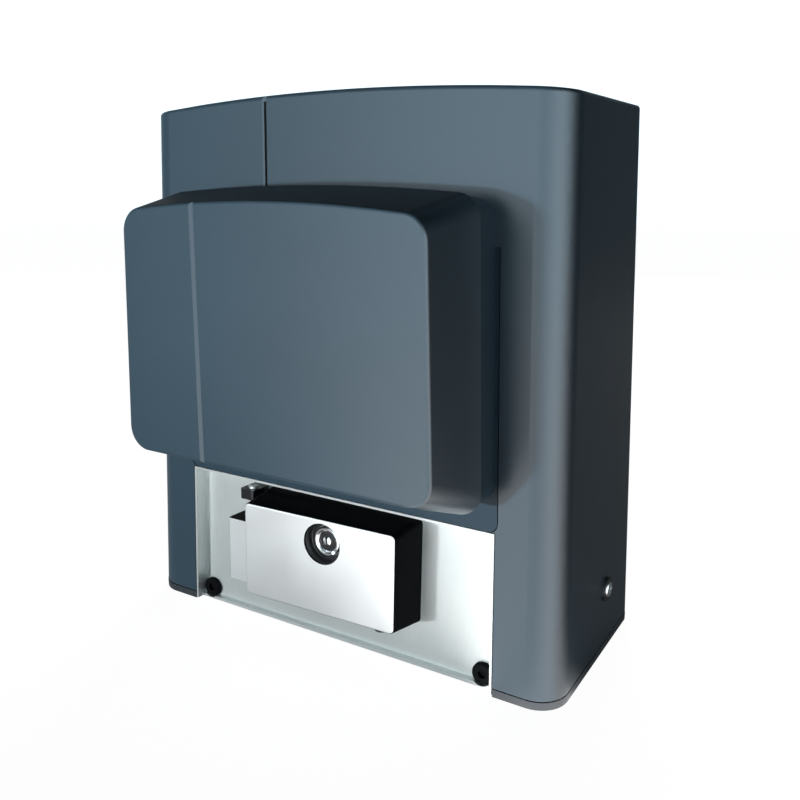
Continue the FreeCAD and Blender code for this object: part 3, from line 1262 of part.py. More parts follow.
def motor():
    bottom = s.coreBottom
    top = bottom + s.coreHeight
    up = Vector(0, 0, 1)
    stator = newBody("stator_core", motorAxis)
    sketch = newSketch(stator, "XY_Plane", "coreBottom")
    circle(sketch, "0", "0", "motorRadius")
    circle(sketch, "0", "0", "statorBore")
    pad(stator, sketch, "coreHeight")
    slot = newSketch(stator, "XY_Plane", "coreBottom")
    polygon(slot, [("statorBore + 2", "-2.6"), ("statorBore + 12", "-4.6"), ("statorBore + 12", "4.6"),
                   ("statorBore + 2", "2.6")])
    polarPattern(stator, pocket(stator, slot, "coreHeight", back=True), "slotCount")
    # windings: two end rings joined through the slots
    inner, outer = s.statorBore + 1.6, s.statorBore + 12.4
    coil = rod(outer, up * (bottom - 12), 12.2).cut(rod(inner, up * (bottom - 20), 40))
    crown = rod(outer, up * (top - 0.2), 12.2).cut(rod(inner, up * (top - 10), 40))
    coil = roundedEdges(coil, 3, lambda edge: edge.CenterOfMass.z < bottom - 11.9)
    crown = roundedEdges(crown, 3, lambda edge: edge.CenterOfMass.z > top + 11.9)
    coil = coil.common(rod(100, up * (bottom - 40), 40 - 0.2))
    crown = crown.common(rod(100, up * (top + 0.2), 40))
    corners = [Vector(s.statorBore + 2.4, -2.2, bottom - 2), Vector(s.statorBore + 11.6, -4.1, bottom - 2),
               Vector(s.statorBore + 11.6, 4.1, bottom - 2), Vector(s.statorBore + 2.4, 2.2, bottom - 2)]
    bar = Part.Face(Part.makePolygon(corners + corners[:1])).extrude(up * (s.coreHeight + 4))
    bars = []
    count = int(s.slotCount)
    for step in range(count):
        copy = bar.copy()
        copy.rotate(Vector(), up, 360 * step / count)
        bars.append(copy)
    addShape("windings", coil.multiFuse([crown] + bars).removeSplitter(), motorAxis)
    turned("rotor_core", ring("motorShaftRadius + 2", "rotorRadius", "coreBottom", "coreBottom + coreHeight"),
           motorAxis)
    shaftTop = "coreBottom + coreHeight + topBellThick - 2"
    stepLow = "coreBottom - 4"
    stepHigh = "coreBottom + coreHeight + 4"
    turned("rotor_shaft", [
        ("0", "chamberFloor - motorBearingWide + 0.5"),
        ("motorShaftRadius", "chamberFloor - motorBearingWide + 0.5"), ("motorShaftRadius", stepLow),
        ("motorShaftRadius + 2", stepLow), ("motorShaftRadius + 2", stepHigh), ("motorShaftRadius", stepHigh),
        ("motorShaftRadius", shaftTop), ("0", shaftTop)], motorAxis)
    bearings = []
    starts = (s.chamberFloor - s.motorBearingWide, s.chamberTop + 3, top + s.topBellThick - 3 - s.motorBearingWide)
    for start in starts:
        for solid in bearingSolids(s.motorShaftRadius + s.runningFit, s.motorBearingOuter, s.motorBearingWide, 8):
            bearings.append(placed(solid, motorAxis.multiply(Placement(up * start, Rotation()))))
    addShape("motor_bearings", group(bearings))
    bells(bottom, top, starts)


def bells(bottom, top, bearingStarts):
    up = Vector(0, 0, 1)
    ears = [spot - motorAxis.Base for spot in tieBoltSpots()]
    lowRadius = s.bellRadius

    def bell(low, high, cavityLow, cavityHigh, bearingLow, hubLow, hubHigh):
        solid = rod(lowRadius, up * low, high - low)
        for ear in ears:
            solid = solid.fuse(rod(6.5, ear + up * low, high - low))
        solid = solid.cut(rod(s.motorRadius - 3.5, up * cavityLow, cavityHigh - cavityLow))
        solid = solid.fuse(rod(s.motorBearingOuter + 4, up * hubLow, hubHigh - hubLow))
        solid = solid.cut(rod(s.motorBearingOuter, up * bearingLow, s.motorBearingWide))
        solid = solid.cut(rod(s.motorShaftRadius + 1.5, up * (low - 5), high - low + 10))
        for ear in ears:
            solid = solid.cut(rod(2.7, ear + up * (low - 1), high - low + 2))
        return solid.removeSplitter()

    seat = bearingStarts[1]
    lower = bell(s.chamberTop, bottom, s.chamberTop + 5, bottom + 1, seat, s.chamberTop, seat + s.motorBearingWide)
    addShape("lower_bell", lower, motorAxis)
    high = top + s.topBellThick
    seat = bearingStarts[2]
    upper = bell(top, high, top - 1, high - 5, seat, seat, high)
    addShape("upper_bell", upper, motorAxis)
    bolts = []
    for ear in ears:
        shank = rod(2.5, ear + up * (s.chamberTop - 8), high - s.chamberTop + 8)
        bolts.append(shank.fuse(hexagon(4.6, ear + up * high, 3.6)))
    addShape("tie_bolts", group(bolts), motorAxis)


def capacitor():
    radius = 17
    centre = Vector(s.runCapacitorOffset, -4, 0)
    turned("run_capacitor", [("0", "footThick"), (f"{radius} - 1", "footThick"),
                             (f"{radius}", "footThick + 1"), (f"{radius}", "footThick + 80"),
                             (f"{radius} - 3", "footThick + 83"), ("0", "footThick + 83")],
           Placement(centre, Rotation()))


def transformer():
    left, right = -143, -87
    front, back = -34, 20
    low = s.footThick
    high = low + 50
    core = block(left + 2, right - 2, front + 14, back - 14, low, high)
    core = core.cut(block(left + 11, left + 22, -60, 60, low + 9, high - 9))
    core = core.cut(block(right - 22, right - 11, -60, 60, low + 9, high - 9))
    addShape("transformer_core", core)
    coil = block(left + 11.2, right - 11.2, front, back, low + 9.2, high - 9.2)
    coil = roundedEdges(coil, 6, lambda edge: abs(edge.tangentAt(edge.FirstParameter).z) > 0.99)
    slot = block(left + 22, right - 22, front + 14, back - 14, low, high)
    addShape("transformer_coil", coil.cut(slot))


def levelling():
    screws = []
    nuts = []
    for x in (-s.levelOffset, s.levelOffset):
        for y in (-s.boltSpreadY / 2, s.boltSpreadY / 2):
            screw = rod(s.levelRadius, Vector(x, y, 0), s.levelLength)
            screws.append(screw.cut(hexagon(3, Vector(x, y, s.levelLength - 4), 5)))
            nut = hexagon(s.levelNutRadius, Vector(x, y, s.footThick), s.levelNutThick)
            nuts.append(nut.cut(rod(s.levelRadius, Vector(x, y, 0), 40)))
    addShape("levelling_screws", group(screws))
    addShape("levelling_nuts", group(nuts))


# Limit switch at the back

def strikerSpot():
    return -s.limitLeft + s.limitWide / 2, s.chamberTop + 12


def limitSwitch():
    x, z = strikerSpot()
    back = s.coverDepth / 2 - 1.5
    front = back - s.limitDeep
    case = block(-s.limitLeft, -s.limitLeft + s.limitWide, front, back, s.chamberTop, s.chamberTop + s.limitHigh)
    case = roundedEdges(case, 2, lambda edge: (
        edge.BoundBox.YMin > back - 0.1 or abs(edge.tangentAt(edge.FirstParameter).y) > 0.99)
        and edge.BoundBox.ZMin > s.chamberTop + 0.5)
    hollow = block(-s.limitLeft + 2, -s.limitLeft + s.limitWide - 2, front + 2, back - 3,
                   s.chamberTop + 2, s.chamberTop + s.limitHigh - 2)
    along = Vector(0, 1, 0)
    case = case.cut(hollow).cut(rod(4 + s.runningFit, Vector(x, front + 6, z), 40, along))
    case = case.cut(rod(3 + s.runningFit, Vector(x, front, z), 3, along))
    addShape("limit_housing", case)
    # striker: shaft through the case, cam inside, spring coil and arm outside
    shaft = rod(4, Vector(x, front + 3.4, z), back + 11 - front - 3.4, along)
    tail = rod(3, Vector(x, front + 0.6, z), 4, along)
    cam = block(x - 3, x + 3, front + 8, back - 8, z, z + 9)
    collar = rod(7, Vector(x, back + 2.5, z), 8.5, along)
    armStart = Vector(x, back + 6.7, z)
    arm = rod(s.strikerRadius, armStart, s.strikerLength)
    tip = rod(s.strikerRadius + 1.2, armStart + Vector(0, 0, s.strikerLength - 10), 12)
    tip = roundedEdges(tip, 2, lambda edge: edge.CenterOfMass.z > z + s.strikerLength + 1)
    addShape("limit_striker", shaft.fuse(tail).fuse(cam).fuse(collar).fuse(arm).fuse(tip).removeSplitter())
    switches = []
    for side in (-1, 1):
        low, high = sorted((x + side * 9.5, x + side * 18))
        body = block(low, high, front + 2, back - 5, z - 5, z + 14)
        switches.append(body)
    addShape("microswitches", group(switches))


def boxScrews():
    screws = []
    for x in boxScrewOffsets():
        bottom = boxScrewSeat() - 2
        depth = -boxScrewDepth()
        head = rod(3, Vector(x, depth, bottom), 2)
        shank = rod(s.boxScrewRadius, Vector(x, depth, bottom + 1), 11)
        socket = block(x - 2.2, x + 2.2, depth - 0.4, depth + 0.4, bottom - 1, bottom + 0.9)
        screws.append(head.fuse(shank).cut(socket))
    addShape("box_screws", group(screws), frontFrame)


def oilPlug():
    left, right = chamberBox()
    along = Vector(1, 0, 0)
    start = Vector(right - s.chamberWall + 1, 0, s.shaftHeight - 10)
    plug = rod(5, start, s.chamberWall - 1, along).fuse(hexagon(7.5, Vector(right, 0, s.shaftHeight - 10), 5, along))
    addShape("oil_plug", plug)


def buildAll():
    plinth()
    mainCover()
    sideFixing()
    frontPlate()
    plateScrews()
    releaseDoor()
    doorFittings()
    lock()
    controlBoxBase()
    controlBoxCover()
    boxSeal()
    boxScrews()
    controlBoard()
    boardParts()
    buttons()
    gearCasing()
    casingCover()
    oilPlug()
    outputBearings()
    outputShaft()
    wormWheel()
    worm()
    clutch()
    pinion()
    motor()
    capacitor()
    transformer()
    levelling()
    limitSwitch()


buildAll()
doc.recompute()

problems = []
for item in doc.Objects:
    if "Invalid" in item.State or "Error" in item.State:
        problems.append(f"{item.Label}: {item.State}")
for piece in pieces:
    if piece.Shape.isNull() or not piece.Shape.isValid() or piece.Shape.Volume <= 0:
        problems.append(f"{piece.Label}: bad shape")
if problems:
    raise SystemExit("\n".join(problems))

os.makedirs("parts", exist_ok=True)
for piece in pieces:
    piece.Shape.exportStep(f"parts/{piece.Label}.step")
print(len(pieces), "pieces written")
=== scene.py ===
import json
import math

import bmesh
import bpy
from mathutils import Matrix, Vector


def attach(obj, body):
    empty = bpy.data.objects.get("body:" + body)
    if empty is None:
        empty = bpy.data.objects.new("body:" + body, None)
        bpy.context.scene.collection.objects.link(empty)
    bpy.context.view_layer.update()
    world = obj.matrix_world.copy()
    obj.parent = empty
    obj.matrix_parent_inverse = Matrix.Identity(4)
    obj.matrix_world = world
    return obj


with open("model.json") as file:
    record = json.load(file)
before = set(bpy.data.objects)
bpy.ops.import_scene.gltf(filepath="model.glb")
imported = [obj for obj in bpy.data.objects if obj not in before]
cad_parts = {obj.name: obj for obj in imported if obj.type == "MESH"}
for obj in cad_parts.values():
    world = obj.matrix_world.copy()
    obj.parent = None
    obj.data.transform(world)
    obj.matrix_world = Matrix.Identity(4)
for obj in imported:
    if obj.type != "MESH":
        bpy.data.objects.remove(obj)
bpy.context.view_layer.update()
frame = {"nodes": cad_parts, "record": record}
nodes = frame["nodes"]
print("frame loaded:", len(nodes), "nodes")

# The front of the housing leans back about the lower front edge of the cover
frontSetting = {"back": 13.4, "over": 341, "edge": -0.068}    # so many mm back over that height, edge in metres
frontLean = math.atan(frontSetting["back"] / frontSetting["over"])
frontTurn = Matrix.Translation((0, frontSetting["edge"], 0)) @ Matrix.Rotation(-frontLean, 4, "X")


# Camera first: 37.5 mm lens, from the right of the front and a little above

cameraSetting = {
    "lens": 37.53,
    "place": (0.30094, -0.4682, 0.29399),
    "turnLeft": 0.548,     # radians about the upright
    "lookDown": 0.251,
    "roll": -0.003,
}


def addCamera():
    data = bpy.data.cameras.new("camera")
    data.lens = cameraSetting["lens"]
    data.sensor_width = 36
    data.clip_start = 0.01
    camera = bpy.data.objects.new("camera", data)
    bpy.context.scene.collection.objects.link(camera)
    turn = (Matrix.Rotation(cameraSetting["turnLeft"], 4, "Z")
            @ Matrix.Rotation(math.pi / 2 - cameraSetting["lookDown"], 4, "X")
            @ Matrix.Rotation(cameraSetting["roll"], 4, "Z"))
    camera.matrix_world = Matrix.Translation(cameraSetting["place"]) @ turn
    bpy.context.scene.camera = camera


addCamera()


# Helpers for node trees

def addNode(tree, kind, inputs=None, **settings):
    node = tree.nodes.new(kind)
    for name, value in settings.items():
        setattr(node, name, value)
    for name, value in (inputs or {}).items():
        socket = node.inputs[name]
        if isinstance(value, bpy.types.NodeSocket):
            tree.links.new(value, socket)
        else:
            socket.default_value = value
    return node


def newGroup(name, inputs, outputs):
    tree = bpy.data.node_groups.new(name, "ShaderNodeTree")
    for label, kind, value in inputs:
        socket = tree.interface.new_socket(label, in_out="INPUT", socket_type=kind)
        if value is not None:
            socket.default_value = value
    for label, kind in outputs:
        tree.interface.new_socket(label, in_out="OUTPUT", socket_type=kind)
    return tree, tree.nodes.new("NodeGroupInput"), tree.nodes.new("NodeGroupOutput")


# Shared effects, one node group for each

# Fine moulded grain, with a slow drift in colour and gloss and a little dust on what looks up
def mouldedGroup():
    tree, start, end = newGroup(
        "moulded surface",
        [("Colour", "NodeSocketColor", (0.5, 0.5, 0.5, 1)), ("Grain Scale", "NodeSocketFloat", 900.0),
         ("Roughness", "NodeSocketFloat", 0.5), ("Dust", "NodeSocketFloat", 0.1)],
        [("Colour", "NodeSocketColor"), ("Roughness", "NodeSocketFloat"), ("Height", "NodeSocketFloat")])
    where = addNode(tree, "ShaderNodeTexCoord").outputs["Object"]
    grain = addNode(tree, "ShaderNodeTexNoise", {"Vector": where, "Scale": start.outputs["Grain Scale"],
                                                 "Detail": 3.0, "Roughness": 0.6})
    drift = addNode(tree, "ShaderNodeTexNoise", {"Vector": where, "Scale": 9.0, "Detail": 2.0})
    specks = addNode(tree, "ShaderNodeTexNoise", {"Vector": where, "Scale": 160.0, "Detail": 4.0})
    turned = addNode(tree, "ShaderNodeNewGeometry").outputs["Normal"]
    upward = addNode(tree, "ShaderNodeSeparateXYZ", {"Vector": turned})
    settle = addNode(tree, "ShaderNodeMath", {0: upward.outputs["Z"], 1: specks.outputs["Fac"]},
                     operation="MULTIPLY")
    dust = addNode(tree, "ShaderNodeMath", {0: settle.outputs[0], 1: start.outputs["Dust"]},
                   operation="MULTIPLY", use_clamp=True)
    shade = addNode(tree, "ShaderNodeMapRange", {"Value": drift.outputs["Fac"],
                                                 "To Min": 0.88, "To Max": 1.12})
    tinted = addNode(tree, "ShaderNodeVectorMath", {0: start.outputs["Colour"],
                                                    "Scale": shade.outputs["Result"]}, operation="SCALE")
    dusty = addNode(tree, "ShaderNodeMix", {"Factor": dust.outputs[0], "A": tinted.outputs["Vector"],
                                            "B": (0.42, 0.41, 0.38, 1)}, data_type="RGBA")
    swing = addNode(tree, "ShaderNodeMapRange", {"Value": drift.outputs["Fac"],
                                                 "To Min": -0.03, "To Max": 0.03})
    rough = addNode(tree, "ShaderNodeMath", {0: start.outputs["Roughness"], 1: swing.outputs["Result"]})
    finish = addNode(tree, "ShaderNodeMath", {0: rough.outputs[0], 1: dust.outputs[0]}, use_clamp=True)
    tree.links.new(dusty.outputs["Result"], end.inputs["Colour"])
    tree.links.new(finish.outputs[0], end.inputs["Roughness"])
    tree.links.new(grain.outputs["Fac"], end.inputs["Height"])
    return tree


# Long fine brush marks along one direction, with a slow drift in gloss
def brushedGroup():
    tree, start, end = newGroup(
        "brushed marks",
        [("Colour", "NodeSocketColor", (0.7, 0.7, 0.7, 1)), ("Stretch", "NodeSocketVector", (900, 900, 12)),
         ("Roughness", "NodeSocketFloat", 0.3), ("Contrast", "NodeSocketFloat", 0.1)],
        [("Colour", "NodeSocketColor"), ("Roughness", "NodeSocketFloat"), ("Height", "NodeSocketFloat")])
    where = addNode(tree, "ShaderNodeTexCoord").outputs["Object"]
    along = addNode(tree, "ShaderNodeVectorMath", {0: where, 1: start.outputs["Stretch"]}, operation="MULTIPLY")
    marks = addNode(tree, "ShaderNodeTexNoise", {"Vector": along.outputs["Vector"], "Scale": 1.0, "Detail": 4.0,
                                                 "Roughness": 0.65})
    patches = addNode(tree, "ShaderNodeTexNoise", {"Vector": where, "Scale": 22.0, "Detail": 3.0})
    spread = addNode(tree, "ShaderNodeMath", {0: marks.outputs["Fac"], 1: 0.5}, operation="SUBTRACT")
    shade = addNode(tree, "ShaderNodeMath", {0: spread.outputs[0], 1: start.outputs["Contrast"]},
                    operation="MULTIPLY")
    factor = addNode(tree, "ShaderNodeMath", {0: shade.outputs[0], 1: 1.0})
    tinted = addNode(tree, "ShaderNodeVectorMath", {0: start.outputs["Colour"], "Scale": factor.outputs[0]},
                     operation="SCALE")
    swing = addNode(tree, "ShaderNodeMapRange", {"Value": patches.outputs["Fac"], "From Min": 0.3,
                                                 "From Max": 0.7, "To Min": -0.05, "To Max": 0.06})
    rough = addNode(tree, "ShaderNodeMath", {0: start.outputs["Roughness"], 1: swing.outputs["Result"]})
    finish = addNode(tree, "ShaderNodeMath", {0: rough.outputs[0], 1: shade.outputs[0]}, use_clamp=True)
    tree.links.new(tinted.outputs["Vector"], end.inputs["Colour"])
    tree.links.new(finish.outputs[0], end.inputs["Roughness"])
    tree.links.new(marks.outputs["Fac"], end.inputs["Height"])
    return tree


# Sand cast skin: pebbled height, blotches and darker pits
def castGroup():
    tree, start, end = newGroup(
        "cast skin",
        [("Colour", "NodeSocketColor", (0.5, 0.5, 0.5, 1)), ("Pebble Scale", "NodeSocketFloat", 420.0),
         ("Roughness", "NodeSocketFloat", 0.5)],
        [("Colour", "NodeSocketColor"), ("Roughness", "NodeSocketFloat"), ("Height", "NodeSocketFloat")])
    where = addNode(tree, "ShaderNodeTexCoord").outputs["Object"]
    pebbles = addNode(tree, "ShaderNodeTexVoronoi", {"Vector": where, "Scale": start.outputs["Pebble Scale"]})
    blotches = addNode(tree, "ShaderNodeTexNoise", {"Vector": where, "Scale": 40.0, "Detail": 5.0})
    shade = addNode(tree, "ShaderNodeMapRange", {"Value": blotches.outputs["Fac"], "From Min": 0.3,
                                                 "From Max": 0.7, "To Min": 0.85, "To Max": 1.08})
    tinted = addNode(tree, "ShaderNodeVectorMath", {0: start.outputs["Colour"],
                                                    "Scale": shade.outputs["Result"]}, operation="SCALE")
    swing = addNode(tree, "ShaderNodeMapRange", {"Value": blotches.outputs["Fac"], "From Min": 0.3,
                                                 "From Max": 0.7, "To Min": 0.08, "To Max": -0.08})
    rough = addNode(tree, "ShaderNodeMath", {0: start.outputs["Roughness"], 1: swing.outputs["Result"]},
                    use_clamp=True)
    height = addNode(tree, "ShaderNodeMath", {0: pebbles.outputs["Distance"], 1: blotches.outputs["Fac"]})
    tree.links.new(tinted.outputs["Vector"], end.inputs["Colour"])
    tree.links.new(rough.outputs[0], end.inputs["Roughness"])
    tree.links.new(height.outputs[0], end.inputs["Height"])
    return tree


# One where the surface looks along a direction, zero where it turns away
def faceGroup():
    tree, start, end = newGroup("facing", [("Direction", "NodeSocketVector", (0, -1, 0))],
                                [("Mask", "NodeSocketFloat")])
    turned = addNode(tree, "ShaderNodeTexCoord").outputs["Normal"]
    along = addNode(tree, "ShaderNodeVectorMath", {0: turned, 1: start.outputs["Direction"]},
                    operation="DOT_PRODUCT")
    mask = addNode(tree, "ShaderNodeMapRange", {"Value": along.outputs["Value"], "From Min": 0.72,
                                                "From Max": 0.95})
    tree.links.new(mask.outputs["Result"], end.inputs["Mask"])
    return tree


moulded = mouldedGroup()
brushed = brushedGroup()
castSkin = castGroup()
facing = faceGroup()


# Materials

grainDepth = {"moulded": 0.00012, "brushed": 0.00006, "cast": 0.0002}    # metres, at full bump


def newMaterial(name, group, inputs, bump, bumpDistance, **shader):
    material = bpy.data.materials.new(name)
    material.use_nodes = True
    tree = material.node_tree
    surface = tree.nodes["Principled BSDF"]
    effect = addNode(tree, "ShaderNodeGroup", node_tree=group)
    for label, value in inputs.items():
        effect.inputs[label].default_value = value
    relief = addNode(tree, "ShaderNodeBump", {"Strength": bump, "Distance": bumpDistance,
                                              "Height": effect.outputs["Height"]})
    tree.links.new(effect.outputs["Colour"], surface.inputs["Base Color"])
    tree.links.new(effect.outputs["Roughness"], surface.inputs["Roughness"])
    tree.links.new(relief.outputs["Normal"], surface.inputs["Normal"])
    for label, value in shader.items():
        surface.inputs[label.replace("_", " ")].default_value = value
    return material


def mouldedPlastic(name, colour, roughness=0.5, grain=1400.0, dust=0.08, bump=0.12, **shader):
    effect = {"Colour": (*colour, 1), "Grain Scale": grain, "Roughness": roughness, "Dust": dust}
    return newMaterial(name, moulded, effect, bump, grainDepth["moulded"], **shader)


def brushedMetal(name, colour, stretch, roughness=0.3, contrast=0.12, bump=0.08, metallic=1.0, **shader):
    effect = {"Colour": (*colour, 1), "Stretch": stretch, "Roughness": roughness, "Contrast": contrast}
    return newMaterial(name, brushed, effect, bump, grainDepth["brushed"], Metallic=metallic, **shader)


def castMetal(name, colour, pebble=420.0, roughness=0.5, bump=0.35, metallic=0.85, **shader):
    effect = {"Colour": (*colour, 1), "Pebble Scale": pebble, "Roughness": roughness}
    return newMaterial(name, castSkin, effect, bump, grainDepth["cast"], Metallic=metallic, **shader)


upright = (1500, 1500, 14)    # brush marks drawn out along z
acrossX = (14, 1500, 1500)
acrossY = (1500, 14, 1500)

materials = {
    "cover_grey": mouldedPlastic("cover grey", (0.042, 0.076, 0.105), 0.32, 2200.0, 0.05, 0.05,
                                 Specular_IOR_Level=0.5),
    "box_grey": mouldedPlastic("box grey", (0.048, 0.086, 0.118), 0.32, 2200.0, 0.05, 0.05,
                               Specular_IOR_Level=0.5),
    # The box's base: a darker, less glossy copy of the box grey, as painted shade where it lies in the box's
    # shadow
    "shaded_base_grey": mouldedPlastic("base grey painted shade", (0.040, 0.071, 0.098), 0.38, 2200.0, 0.05, 0.05,
                                Specular_IOR_Level=0.2),
    "plinth_grey": mouldedPlastic("plinth grey", (0.040, 0.046, 0.055), 0.5, 1200.0, 0.1, 0.15),
    "plate_metal": brushedMetal("brushed plate", (0.71, 0.74, 0.73), upright, 0.42, 0.16, 0.10, 0.45),
    "door_metal": brushedMetal("door casting", (0.97, 0.98, 0.98), upright, 0.36, 0.05, 0.05, 0.57,
                               Specular_IOR_Level=0.0075),
    "lock_chrome": brushedMetal("lock chrome", (0.82, 0.83, 0.84), acrossX, 0.14, 0.04, 0.02),
    "black_plastic": mouldedPlastic("black plastic", (0.012, 0.013, 0.014), 0.42, 1500.0, 0.05, 0.10),
    "black_steel": mouldedPlastic("blackened steel", (0.010, 0.010, 0.012), 0.34, 1800.0, 0.05, 0.12),
    "zinc_steel": brushedMetal("zinc plated steel", (0.66, 0.68, 0.69), acrossX, 0.30, 0.10, 0.05),
    "cast_metal": castMetal("cast aluminium", (0.50, 0.51, 0.52), 520.0, 0.48, 0.30),
    "bronze": brushedMetal("bronze", (0.62, 0.40, 0.17), acrossY, 0.30, 0.12, 0.06),
    "steel": brushedMetal("machined steel", (0.50, 0.51, 0.53), acrossY, 0.26, 0.12, 0.05),
    "core_steel": brushedMetal("laminated core", (0.30, 0.31, 0.33), (18, 18, 2600), 0.46, 0.35, 0.5),
    "copper": brushedMetal("enamelled copper", (0.56, 0.20, 0.07), (60, 60, 1500), 0.28, 0.30, 0.4),
    "rubber": mouldedPlastic("black rubber", (0.012, 0.012, 0.013), 0.7, 700.0, 0.15, 0.25),
    "board_green": mouldedPlastic("green lacquer", (0.010, 0.110, 0.045), 0.30, 500.0, 0.02, 0.10),
    "terminal_green": mouldedPlastic("terminal green", (0.030, 0.230, 0.070), 0.42, 1100.0, 0.02, 0.08),
    "relay_blue": mouldedPlastic("relay blue", (0.015, 0.045, 0.200), 0.32, 1100.0, 0.02, 0.06),
    "can_metal": brushedMetal("drawn can", (0.70, 0.71, 0.72), upright, 0.26, 0.06, 0.04),
    "can_sleeve": mouldedPlastic("shrink sleeve", (0.012, 0.014, 0.020), 0.22, 800.0, 0.02, 0.05),
    "dull_black": mouldedPlastic("dull black", (0.0035, 0.004, 0.0045), 0.6, 900.0, 0.0, 0.05,
                                 Specular_IOR_Level=0.06),
    "resistor_tan": mouldedPlastic("resistor enamel", (0.42, 0.30, 0.16), 0.35, 900.0, 0.0, 0.04),
    "chrome": brushedMetal("polished chrome", (0.90, 0.91, 0.92), acrossX, 0.12, 0.03, 0.02),
}
print("materials made:", len(materials))


# Painted shade: the door's sides and top get a near-black colour with hardly any metal, and the faces of
# the box and its base that look up get a dark, dull colour. A material keeps its own finish where its mask is
# one.

def facingMask(tree, direction):
    return addNode(tree, "ShaderNodeGroup", {"Direction": direction}, node_tree=facing).outputs["Mask"]


def keepWhere(tree, mask, socket, other, kind):    # mixes what feeds a socket with another value
    mix = addNode(tree, "ShaderNodeMix", {"Factor": mask, "A": other, "B": socket.links[0].from_socket},
                  data_type=kind)
    tree.links.new(mix.outputs["Result"], socket)


# Colours and finish of the painted shade on the door's sides and on the tops of the box and its base
darkSetting = {
    "doorFront": (0, -0.9992, 0.0393), "doorSideShade": (0.006, 0.007, 0.008), "sidesMetallic": 0.0165,
    "upwards": (0, -0.17, 0.985), "boxTopShade": (0.001, 0.004, 0.006), "baseTopShade": (0.016, 0.026, 0.035),
    "topRoughness": 0.52,
}


# Paints shade on the door's sides and top: near-black and almost without metal; only the front and back keep
# the bright metal
def paintDoorSideShade():
    tree = materials["door_metal"].node_tree
    surface = tree.nodes["Principled BSDF"]
    front = darkSetting["doorFront"]
    behind = [-part for part in front]
    mask = addNode(tree, "ShaderNodeMath", {0: facingMask(tree, front), 1: facingMask(tree, behind)},
                   operation="MAXIMUM").outputs[0]
    keepWhere(tree, mask, surface.inputs["Base Color"], (*darkSetting["doorSideShade"], 1), "RGBA")
    metallic = surface.inputs["Metallic"]
    part = addNode(tree, "ShaderNodeMapRange", {"Value": mask, "To Min": darkSetting["sidesMetallic"],
                                                "To Max": metallic.default_value})
    tree.links.new(part.outputs["Result"], metallic)


# Paints shade on faces that look up: a dark colour and a duller gloss
def paintTopShade(material, colour):
    tree = material.node_tree
    surface = tree.nodes["Principled BSDF"]
    mask = addNode(tree, "ShaderNodeMath", {0: 1.0, 1: facingMask(tree, darkSetting["upwards"])},
                   operation="SUBTRACT").outputs[0]
    keepWhere(tree, mask, surface.inputs["Base Color"], (*colour, 1), "RGBA")
    keepWhere(tree, mask, surface.inputs["Roughness"], darkSetting["topRoughness"], "FLOAT")


paintDoorSideShade()
paintTopShade(materials["box_grey"], darkSetting["boxTopShade"])
paintTopShade(materials["shaded_base_grey"], darkSetting["baseTopShade"])

slots = {part["node"]: part["material_slot"] for part in frame["record"]["subparts"]}


def dress(piece, material):
    piece.data.materials.clear()
    piece.data.materials.append(material)


for nodeName, nodeObject in nodes.items():
    dress(nodeObject, materials[slots[nodeName]])
dress(nodes["plate_screws"], materials["dull_black"])
# The box's base takes the darker copy of the box grey, as painted shade
dress(nodes["control_box_base"], materials["shaded_base_grey"])


# Meshes are made in millimetres, then scaled and put in place with the object at the origin

def newPiece(name, shape, material, body, place=None, sharpAngle=35):
    bmesh.ops.scale(shape, verts=shape.verts, vec=(0.001, 0.001, 0.001))
    if place is not None:
        bmesh.ops.transform(shape, matrix=place, verts=shape.verts)
    bmesh.ops.recalc_face_normals(shape, faces=shape.faces)
    mesh = bpy.data.meshes.new(name)
    for edge in shape.edges:
        edge.smooth = len(edge.link_faces) == 2 and edge.calc_face_angle(0) < math.radians(sharpAngle)
    for face in shape.faces:
        face.smooth = True
    shape.to_mesh(mesh)
    shape.free()
    piece = bpy.data.objects.new(name, mesh)
    bpy.context.scene.collection.objects.link(piece)
    mesh.materials.append(material)
    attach(piece, body)


def closeEnds(shape):
    bmesh.ops.holes_fill(shape, edges=[edge for edge in shape.edges if edge.is_boundary], sides=0)


# Spins a closed profile of (radius, height) about z, by degrees, and lifts it at each step for a coil
def spun(shape, profile, steps=64, sweep=360, start=0, lift=0):
    turn = math.radians(start)
    corners = [shape.verts.new((radius * math.cos(turn), radius * math.sin(turn), height))
               for radius, height in profile]
    edges = [shape.edges.new((corners[k], corners[(k + 1) % len(corners)])) for k in range(len(corners))]
    whole = sweep == 360
    bmesh.ops.spin(shape, geom=corners + edges, cent=(0, 0, 0), axis=(0, 0, 1), dvec=(0, 0, lift),
                   angle=math.radians(sweep), steps=steps, use_merge=whole, use_duplicate=False)
    if not whole:
        closeEnds(shape)


def drawnOut(shape, face, height):    # draws a flat face out along z and gives its new end
    end = bmesh.ops.extrude_discrete_faces(shape, faces=[face])["faces"][0]
    bmesh.ops.translate(shape, verts=end.verts, vec=(0, 0, height))
    return end


# Lock in the release door, with z out of the well from its floor

lockSetting = {
    "offset": 10.3, "height": 78.6, "floor": -13.25,   # in the leaning front frame
    "wellRadius": 13.4, "clear": 0.08,
    "shadeCupHole": 9.95, "shadeCupLow": 0.04, "shadeCupFloor": 0.3, "shadeCupDeep": 6.8, "shadeCupWall": 0.45,
    "ringInner": 7.1, "ringOuter": 9.5, "ringLow": 1.62, "ringHigh": 2.9,
    "ringSweep": 338, "ringStart": -34,    # degrees, open towards the lower right
    "plugFront": 0.93, "faceInner": 2.9, "faceOuter": 6.5,
    "slotHalf": 0.45, "coreWide": 2.35, "coreHigh": 3.1,    # each half of the core, beside the key slot
    "coreFrom": 0.02, "coreUpright": 1.08, "coreTaper": 0.9, "coreTop": (0.45, 0.5, 1),
}
lockPlace = (frontTurn @ Matrix.Translation((lockSetting["offset"] / 1000, lockSetting["floor"] / 1000,
                                             lockSetting["height"] / 1000))
             @ Matrix.Rotation(math.pi / 2, 4, "X"))


